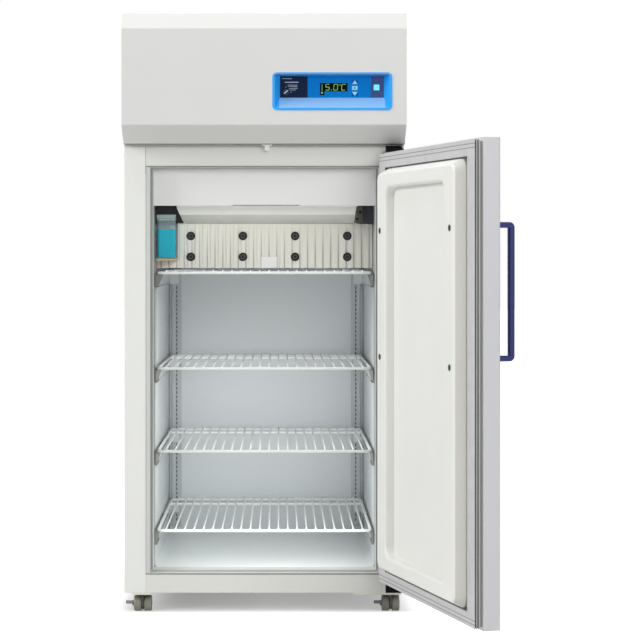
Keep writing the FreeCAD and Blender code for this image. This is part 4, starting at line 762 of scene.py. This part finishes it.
class FRIDGE_OT_chamber(bpy.types.Operator):
    """Finish the chamber's walls, evaporator housing, blower cover, pilasters and brackets"""

    bl_idname = "fridge.chamber"
    bl_label = "Chamber"

    FOLD = 0.054  # the soffit's folded step, back from the housing's front
    INTAKES = (-0.2272, 0.2412)  # inner ends of the left and the right intake
    SLOT = (-0.0815, 0.0886)  # the finger slot in the housing's lower edge

    def gussets(self):
        """Two small gussets at the ends of the soffit's folded step."""
        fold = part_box("evaporator_housing")[0].y + self.FOLD - PRINT
        shapes = ([(-0.2285, 1.0375), (-0.2262, 1.031), (-0.2085, 0.9942), (-0.2285, 0.9942)],
                  [(0.2375, 1.0375), (0.2535, 1.0375), (0.2535, 0.9945), (0.2315, 0.9945)])
        olive = coat("gusset_coat", "gusset", 0.45, 0.4, Specular_IOR_Level=0.2)
        olive.marks(iron=olive.x < 0.0)
        for x, z, radius in ((0.2475, 1.0225, 0.0046), (0.2395, 1.0045, 0.0038)):
            away = olive.add("ShaderNodeVectorMath", {"operation": "DISTANCE"},
                             {0: olive.place, 1: (x, fold - 0.0012, z)}, "Value")
            olive.marks(plug=away < radius)
        attach(rounded(raised("housing_gussets", shapes, fold, olive, 0.0012), 0.0003), "shelf_brackets_left")

    def screens(self):
        """A ribbed screen behind each intake of the evaporator housing."""
        low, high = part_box("evaporator_housing")
        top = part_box("blower_cover")[1].z
        made = Recipe("intake_screen", Width=0.05, Height=0.06, Pitch=0.0026, Proud=0.002)
        wide, tall, proud = made["Width"], made["Height"], made["Proud"]
        back = made.block(wide, 0.001, tall)
        slat = made.block(0.0007, proud, tall)
        row = made.row((wide - 0.002) / made["Pitch"], made.vector(made["Pitch"]),
                       made.vector(wide * -0.5 + 0.0015, proud * -0.5 - 0.0004))
        finish = moulding("screen_moulding", "screen", 0.5)
        finish.marks(plug=(finish.x < 0.0) * 0.85)
        made.done(made.joined(back, made.scattered(row, slat)), finish)
        for name, left, right in (("intake_screen_left", low.x + 0.0008, self.INTAKES[0]),
                                  ("intake_screen_right", self.INTAKES[1], high.x - 0.0008)):
            made.set_down(name, ((left + right) / 2, low.y + 0.075, top + 0.0316), "cover_plugs",
                          Width=right - left, Height=0.062)

    def cover_wing(self, finish):
        """The blower cover's low end, which runs on below the bottle's tray."""
        low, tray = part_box("blower_cover")[0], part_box("bottle_tray")[0]
        end, top = tray.x, tray.z - 0.0012
        made = Recipe("ribbed_wing", Width=0.05, Height=0.02, Pitch=0.0201, Rib=0.01, Proud=0.003)
        wide, tall, rib = made["Width"], made["Height"], made["Rib"]
        plate = made.block(wide, 0.003, tall)
        bar = made.block(rib, made["Proud"], tall)
        row = made.row(wide / made["Pitch"], made.vector(made["Pitch"] * -1.0),
                       made.vector(wide * 0.5 - rib * 1.4, -0.0028))
        made.done(made.joined(plate, made.scattered(row, bar)), finish)
        made.set_down("cover_wing", ((low.x + end) / 2, low.y + 0.0065, (low.z + top) / 2), "blower_cover",
                      Width=low.x - end, Height=top - low.z, Pitch=sizes().rib_pitch, Rib=sizes().rib_width)

    def plug_rings(self):
        """A raised ring on the head of each plug in the blower cover."""
        form = bmesh.new()
        form.from_mesh(NODES["cover_plugs"].data)
        bmesh.ops.remove_doubles(form, verts=form.verts, dist=1e-5)
        heads = []
        left = set(form.verts)
        while left:
            head, edge = set(), {left.pop()}
            while edge:
                head |= edge
                edge = {link.other_vert(vert) for vert in edge for link in vert.link_edges} - head
            left -= head
            heads.append(sum((vert.co for vert in head), Vector()) / len(head))
        form.free()
        seats = bpy.data.meshes.new("plug_seats")
        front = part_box("cover_plugs")[0].y
        seats.from_pydata([(spot.x, front - 0.0002, spot.z) for spot in heads], [], [])
        made = Recipe("plug_ring", Radius=0.005, Bead=0.0009)
        ring = made.add("GeometryNodeCurvePrimitiveCircle", Resolution=28, Radius=made["Radius"])
        ring = made.placed(made.tube(ring, made["Bead"], 8), (0.0, 0.0, 0.0), (math.pi / 2, 0.0, 0.0))
        made.done(made.scattered(made["Geometry"], ring), moulding("plug_ring_moulding", "ring", 0.35))
        attach(made.make("cover_plug_rings", seats, Radius=sizes().plug_ring), "cover_plugs")

    def execute(self, context):
        wall = coat("chamber_coat", "chamber", 0.3, 0.4)
        low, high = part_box("inner_liner")
        side = abs(wall.x)
        # Painted light on the chamber's floor, painted shade in a strip at the front of the side walls and in a line
        # at the back corners.
        wall.marks(chamber_floor=(wall.z < low.z + 0.03) * (wall.facing(2) > 0.7),
                   seam=(side > 0.2804) * wall.y.within(low.y - 0.001, low.y + 0.036))
        wall.marks(groove=side.within(0.2802, 0.2832) * (wall.facing(1) < -0.7) * (wall.y > 0.3))
        dress(wall, "inner_liner")
        housing = coat("housing_coat", "housing", 0.36, 0.6)
        low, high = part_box("evaporator_housing")
        housing.marks(soffit=housing.z < low.z + 0.0455)
        # Painted light on the soffit's upper fold and painted shade on its lower strip.
        housing.marks(tab=housing.z.within(low.z + 0.0235, low.z + 0.0452), rail=(housing.z < low.z + 0.0235) * 0.7)
        # A dark line for the finger slot in the housing's lower edge: painted shade, with no cut behind it.
        housing.marks(gap=(housing.y < low.y + 0.003) * housing.z.within(low.z + 0.044, low.z + 0.0468)
                      * housing.x.within(*self.SLOT))
        soften("evaporator_housing", housing, sizes().sheet_edge)
        low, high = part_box("blower_cover")
        cover = moulding("cover_moulding", "cover", 0.5, 600.0)
        turn = (cover.x - low.x - sizes().rib_margin) / sizes().rib_pitch
        beside = 1 - abs(turn.maths("FRACT", turn) - sizes().rib_width / sizes().rib_pitch - 0.06) / 0.13
        fade = cover.add("ShaderNodeMapRange", Value=cover.z, From_Min=low.z + 0.03, From_Max=high.z, To_Min=0.8,
                         To_Max=0.1)
        front = cover.y < low.y + 0.008
        cover.marks(rib_shade=beside.maths("MAXIMUM", beside, 0.0) * fade * front)
        cover.marks(tab=cover.y < low.y + 0.0015)
        soften("blower_cover", cover, sizes().rib_edge, 3)
        self.cover_wing(cover)
        self.gussets()
        self.screens()
        plug = moulding("cover_plug_moulding", "plug", 0.4, Specular_IOR_Level=0.3)
        soften("cover_plugs", plug, sizes().plastic_edge)
        self.plug_rings()
        for node in ("pilaster_left", "pilaster_right"):
            low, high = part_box(node)
            post = coat(node + "_coat", "post", 0.4, 0.5)
            # Painted shade inside the pilasters' slots.
            post.marks(gap=(post.y > low.y + 0.0004) * (abs(post.x - middle(node).x) < 0.0024)
                       * post.z.within(low.z + 0.0145, high.z - 0.0145))
            soften(node, post, sizes().plastic_edge * 0.6)
        # The brackets get painted shade in a wedge below each shelf, deepest at the front and narrowing to the rear.
        bracket = coat("bracket_coat", "chamber", 0.4, 0.5)
        reach = (0.03 - bracket.y) * 0.13
        for shelf in SHELVES:
            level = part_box(shelf)[0].z
            bracket.marks(bracket=(bracket.z < level + 0.02) * (bracket.z > level - reach) * (bracket.y < 0.03))
        for node in ("shelf_brackets_left", "shelf_brackets_right"):
            soften(node, bracket, sizes().plastic_edge * 0.8)
        iron = coat("motor_coat", "iron", 0.5)
        dress(iron, "evaporator_motors")
        dress(moulding("fan_moulding", "blade", 0.5), "evaporator_fan_left", "evaporator_fan_right",
              "condenser_fan")
        dress(bare_metal("coil_metal", "fin", 0.4), "evaporator_coil", "condenser_coil")
        return {"FINISHED"}


class FRIDGE_OT_shelves(bpy.types.Operator):
    """Weld the four wire shelves: bent frame wire, cross wires, thin wires and their end beads"""

    bl_idname = "fridge.shelves"
    bl_label = "Shelves"

    FRAME_RADIUS = 0.004  # of the wires in the CAD shelves
    THIN_RADIUS = 0.00225

    def recipe(self, finish):
        made = Recipe("welded_shelf", Width=0.545, Depth=0.662, Corner=0.018, FrameWire=0.0037, CrossSet=0.108,
                      ThinWire=0.0021, Rise=0.0054, Count=22, Pitch=0.024, Bead=0.0029)
        width, deep, rise = made["Width"], made["Depth"], made["Rise"]
        outline = made.add("GeometryNodeCurvePrimitiveQuadrilateral", Width=width, Height=deep)
        bent = made.add("GeometryNodeFilletCurve", {"mode": "POLY"}, Curve=outline, Count=8, Radius=made["Corner"])
        border = made.tube(bent, made["FrameWire"], 16)
        span = made.line(made.vector(width * -0.5), made.vector(width * 0.5))
        cross = made.placed(made.tube(span, made["FrameWire"], 12),
                            made.vector(y=deep * 0.5 - made["CrossSet"]))
        run = made.line(made.vector(y=deep * -0.5), made.vector(y=deep * 0.5))
        wire = made.tube(run, made["ThinWire"], 10)
        bead = made.add("GeometryNodeMeshUVSphere", Segments=10, Rings=6, Radius=made["Bead"])
        tips = made.joined(made.placed(bead, made.vector(y=deep * -0.5)),
                           made.placed(bead, made.vector(y=deep * 0.5)))
        tips = made.placed(tips, made.vector(z=made["ThinWire"] * -0.7))
        reach = (made["Count"] - 1.0) * made["Pitch"]
        places = made.row(made["Count"], made.vector(made["Pitch"]),
                          made.vector(reach * -0.5, 0.0, rise))
        rows = made.scattered(places, made.joined(wire, tips))
        return made.done(made.joined(border, cross, rows), finish)

    def execute(self, context):
        coated = Finish("coated_wire", "wire", 0.32)
        coated.mottle(25.0, 0.93, 80.0, 0.12, 3.0)
        coated.bump(coated.noise(900.0), 0.00005, 0.5)
        recipe = self.recipe(coated)
        flat = math.sqrt(3) / 2  # half the height of a six-sided wire, over its radius
        for node in SHELVES:
            low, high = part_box(node)
            centre = low.z + flat * self.FRAME_RADIUS
            rise = high.z - flat * self.THIN_RADIUS - centre - 0.0003
            recipe.set_down(node + "_wires", (*middle(node).xy, centre), node, node,
                            Width=high.x - low.x - 2 * self.FRAME_RADIUS,
                            Depth=high.y - low.y - 2 * self.FRAME_RADIUS, FrameWire=sizes().frame_wire,
                            ThinWire=sizes().thin_wire, Bead=sizes().weld, Rise=rise)
        return {"FINISHED"}


class FRIDGE_OT_bottle(bpy.types.Operator):
    """Finish the buffer bottle, its fluid, cap and tray"""

    bl_idname = "fridge.bottle"
    bl_label = "Buffer bottle"

    def execute(self, context):
        low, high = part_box("buffer_fluid")
        clear = Finish("bottle_plastic", "bottle", 0.2)
        clear.mottle(25.0, 0.94, 60.0, 0.08)
        clear.feed("Alpha", (clear.z > high.z) * 0.2 + (clear.z > high.z + 0.024) * 0.3)
        dress(clear, "buffer_bottle")
        fluid = Finish("buffer_fluid", "fluid", 0.3, Specular_IOR_Level=0.1)
        fluid.tint((high.z - fluid.z) / (high.z - low.z), 0.88)
        fluid.gloss(fluid.noise(40.0), 0.05)
        filling = soften("buffer_fluid", fluid, 0.0004)
        heart = Matrix.Translation(middle("buffer_fluid"))
        clear_of_wall = Matrix.Diagonal((0.985, 0.985, 0.998, 1.0))
        filling.data.transform(heart @ clear_of_wall @ heart.inverted())
        low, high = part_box("buffer_bottle")
        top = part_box("bottle_cap")[1].z
        haze = Finish("lid_plastic", "bottle", 0.25, Alpha=0.62)
        haze.mottle(25.0, 0.92, 60.0, 0.1)
        plan = [(x, y, high.z) for x, y in strip(low.x, low.y, high.x, high.y)]
        lid = solid_of("bottle_lid", [plan], haze, top - high.z, (0, 0, 1))
        attach(rounded(lid, 0.0018, 3), "bottle_cap", "bottle_cap")
        dress(moulding("tray_moulding", "amber", 0.3), "bottle_tray")
        return {"FINISHED"}


class FRIDGE_OT_machinery(bpy.types.Operator):
    """Finish the compressor, the fan shroud and the condenser with its fins"""

    bl_idname = "fridge.machinery"
    bl_label = "Machinery"

    def execute(self, context):
        soften("compressor", coat("compressor_coat", "iron", 0.3), sizes().sheet_edge * 3, 3)
        dress(bare_metal("shroud_sheet", "galvanised", 0.45), "fan_shroud")
        low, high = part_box("condenser_coil")
        fins = Recipe("fin_row", Count=60, Pitch=0.0045, Thickness=0.0005, Depth=0.06, Height=0.26)
        plate = fins.block(fins["Thickness"], fins["Depth"], fins["Height"])
        places = fins.row(fins["Count"], fins.vector(fins["Pitch"]))
        fins.done(fins.scattered(places, plate), bare_metal("fin_metal", "fin", 0.35))
        pitch = sizes().fin_gap
        count = int((high.x - low.x - 0.006) / pitch)
        fins.set_down("condenser_fins", (low.x + 0.004, *middle("condenser_coil").yz), "condenser_coil", Count=count,
                      Pitch=pitch, Depth=high.y - low.y - 0.001, Height=high.z - low.z - 0.003)
        return {"FINISHED"}


class FRIDGE_OT_casters(bpy.types.Operator):
    """Finish the casters' plates, yokes, wheels and pedals"""

    bl_idname = "fridge.casters"
    bl_label = "Casters"

    GAP = 0.007  # between a caster's two wheels

    def execute(self, context):
        zinc = coat("zinc_plate", "zinc", 0.35, 0.4)
        soften("caster_plates", zinc, sizes().plastic_edge * 0.8)
        yoke = moulding("yoke_moulding", "hub", 0.5)
        tread = rubber("tread_rubber", "tread", 0.6)
        pedal = moulding("pedal_moulding", "pedal", 0.45)
        for spot in SPOTS:
            soften("caster_yoke_" + spot, yoke, sizes().plastic_edge)
            soften("caster_wheels_" + spot, tread, sizes().plastic_edge * 2, 3)
            low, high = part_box("caster_wheels_" + spot)
            hub, reach = middle("caster_wheels_" + spot), (high.z - low.z) / 2 - 0.004
            rim = [(hub.x - self.GAP / 2, y, z) for y, z in disc(hub.y, hub.z, reach, 36)]
            core = solid_of("caster_core_" + spot, [rim], yoke, self.GAP, (1, 0, 0))
            attach(rounded(core, sizes().plastic_edge), "caster_yoke_" + spot)
        for node in ("brake_pedal_front_left", "brake_pedal_front_right"):
            soften(node, pedal, sizes().plastic_edge)
        return {"FINISHED"}


class FRIDGE_OT_hinges(bpy.types.Operator):
    """Coat the hinges"""

    bl_idname = "fridge.hinges"
    bl_label = "Hinges"

    def execute(self, context):
        black = coat("hinge_coat", "iron", 0.5, Specular_IOR_Level=0.06)
        for node in ("upper_hinge", "lower_hinge"):
            soften(node, black, sizes().sheet_edge)
        return {"FINISHED"}


class FRIDGE_OT_screws(bpy.types.Operator):
    """Set pan-head screws in the hood's cover and the pilasters"""

    bl_idname = "fridge.screws"
    bl_label = "Screws"

    def recipe(self, finish):
        made = Recipe("pan_head_screw", Radius=0.0038)
        radius = made["Radius"]
        head = made.cone(radius, radius * 0.72, radius * 0.5)
        crown = made.cone(radius * 0.72, radius * 0.34, radius * 0.2)
        head = made.joined(head, made.placed(crown, made.vector(z=radius * 0.5)))
        facing = made.add("GeometryNodeInputNamedAttribute", {"data_type": "FLOAT_VECTOR"}, Name="facing")
        turn = made.add("FunctionNodeAlignRotationToVector", {"axis": "Z"}, Vector=facing)
        return made.done(made.scattered(made["Geometry"], head, Rotation=turn), finish)

    def execute(self, context):
        low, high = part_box("hood_cover")
        spots = [((x, high.y, z), (0, 1, 0)) for x in (low.x + 0.02, 0.0, high.x - 0.02)
                 for z in (low.z + 0.018, high.z - 0.018)]
        for y in (low.y + 0.03, (low.y + high.y) / 2, high.y - 0.03):
            spots += [((low.x, y, low.z + 0.016), (-1, 0, 0)), ((high.x, y, low.z + 0.016), (1, 0, 0))]
        for node in ("pilaster_left", "pilaster_right"):
            low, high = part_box(node)
            spots += [((middle(node).x, low.y, z), FORWARD) for z in (low.z + 0.008, high.z - 0.008)]
        seats = bpy.data.meshes.new("screw_seats")
        seats.from_pydata([place for place, facing in spots], [], [])
        facings = seats.attributes.new("facing", "FLOAT_VECTOR", "POINT")
        facings.data.foreach_set("vector", [part for place, facing in spots for part in facing])
        recipe = self.recipe(bare_metal("screw_steel", "screw", 0.3))
        attach(recipe.make("cabinet_screws", seats, Radius=sizes().screw_head), "caster_plates")
        return {"FINISHED"}


class FRIDGE_OT_stage(bpy.types.Operator):
    """Set the floor, soft studio light, and the camera where the photograph was taken"""

    bl_idname = "fridge.stage"
    bl_label = "Stage"

    def lamp(self, name, place, target, size, power):
        data = bpy.data.lights.new(name, "AREA")
        data.shape = "RECTANGLE"
        data.size, data.size_y = size
        data.energy = power
        lamp = new_piece(name, data)
        lamp.location = place
        lamp.rotation_euler = (Vector(target) - Vector(place)).to_track_quat("-Z", "Y").to_euler()

    def execute(self, context):
        scene = context.scene
        scene.view_settings.view_transform = "Standard"
        world = bpy.data.worlds.new("studio")
        scene.world = world
        sky = Graph.of(world)
        plain = sky.add("ShaderNodeBackground", Color=(0.97, 0.985, 1.0, 1.0), Strength=0.27)
        white = sky.add("ShaderNodeBackground", Color=(1.0, 1.0, 1.0, 1.0), Strength=1.0)
        mix = sky.add("ShaderNodeMixShader", inputs={0: sky.backdrop(), 1: plain, 2: white})
        sky.end("ShaderNodeOutputWorld", mix)

        mesh = bpy.data.meshes.new("floor")
        mesh.from_pydata([(-30, -30, 0), (30, -30, 0), (30, 30, 0), (-30, 30, 0)], [], [(0, 1, 2, 3)])
        floor = new_piece("floor", mesh)
        material = bpy.data.materials.new("floor")
        ground = Graph.of(material)
        parts = ground.add("ShaderNodeSeparateXYZ", inputs={0: ground.add("ShaderNodeTexCoord", output="Object")})
        # The floor glows less near the cabinet's footprint, and less again towards its left: a painted shadow under
        # the cabinet.
        away = parts.maths("MAXIMUM", abs(parts) / 0.42, abs(parts.out(1)) / 0.41)
        away = ground.add("ShaderNodeMapRange", {"interpolation_type": "SMOOTHSTEP"}, Value=away, From_Min=0.76,
                          From_Max=1.1)
        shaded = parts.maths("MAXIMUM", parts.maths("MINIMUM", parts, 0.0), -0.35) * 0.4 + 0.33
        matt = ground.add("ShaderNodeBsdfDiffuse", Color=(0.72, 0.72, 0.72, 1.0))
        glow = ground.add("ShaderNodeEmission", Color=(1.0, 1.0, 1.0, 1.0),
                          Strength=ground.backdrop() * (away * 0.8 + shaded))
        ground.end("ShaderNodeOutputMaterial", ground.add("ShaderNodeAddShader", inputs={0: matt, 1: glow}))
        mesh.materials.append(material)

        self.lamp("front_light", (2.0, -5.2, 2.6), (0.0, 0.0, 0.6), (3.0, 1.6), 97.0)
        self.lamp("side_light", (-4.9, -1.9, 3.1), (0.3, -0.6, 0.8), (2.4, 2.0), 172.0)
        self.lamp("top_light", (0.0, -0.6, 4.0), (0.0, 0.0, 1.0), (3.0, 3.0), 55.0)
        self.lamp("chamber_light", (0.0, -0.335, 0.46), (0.0, 0.28, 0.32), (0.5, 0.62), 1.35)

        side, focal, axis = 640.0, 1990.0, (280.0, 258.0)  # in pixels of the picture
        data = bpy.data.cameras.new("camera")
        data.sensor_width = 36.0
        data.lens = 36.0 * focal / side
        data.shift_x = (side / 2 - axis[0]) / side
        data.shift_y = -(side / 2 - axis[1]) / side
        data.clip_end = 100.0
        camera = new_piece("camera", data)
        camera.location = (0.040, -5.453, 0.904)
        camera.rotation_euler = (math.radians(90.0), 0.0, 0.0)
        scene.camera = camera
        return {"FINISHED"}


OPERATORS = (FRIDGE_OT_cabinet, FRIDGE_OT_hood, FRIDGE_OT_controls, FRIDGE_OT_door, FRIDGE_OT_chamber,
             FRIDGE_OT_shelves, FRIDGE_OT_bottle, FRIDGE_OT_machinery, FRIDGE_OT_casters, FRIDGE_OT_hinges,
             FRIDGE_OT_screws, FRIDGE_OT_stage)


class FRIDGE_PT_panel(bpy.types.Panel):
    """Lists the steps, the sizes and the colours"""

    bl_idname = "FRIDGE_PT_panel"
    bl_label = "Laboratory refrigerator"
    bl_space_type = "VIEW_3D"
    bl_region_type = "UI"
    bl_category = "Fridge"

    def draw(self, context):
        for step in OPERATORS:
            self.layout.operator(step.bl_idname)
        for group in (context.scene.fridge_sizes, context.scene.fridge_colours):
            box = self.layout.box()
            for name in group.__annotations__:
                box.prop(group, name)


CLASSES = (FridgeSizes, FridgeColours, *OPERATORS, FRIDGE_PT_panel)


def register():
    for kind in CLASSES:
        bpy.utils.register_class(kind)
    bpy.types.Scene.fridge_sizes = bpy.props.PointerProperty(type=FridgeSizes)
    bpy.types.Scene.fridge_colours = bpy.props.PointerProperty(type=FridgeColours)


def unregister():
    del bpy.types.Scene.fridge_colours
    del bpy.types.Scene.fridge_sizes
    for kind in reversed(CLASSES):
        bpy.utils.unregister_class(kind)


def main():
    register()
    for step in OPERATORS:
        group, name = step.bl_idname.split(".")
        getattr(getattr(bpy.ops, group), name)()


if __name__ == "__main__":
    main()
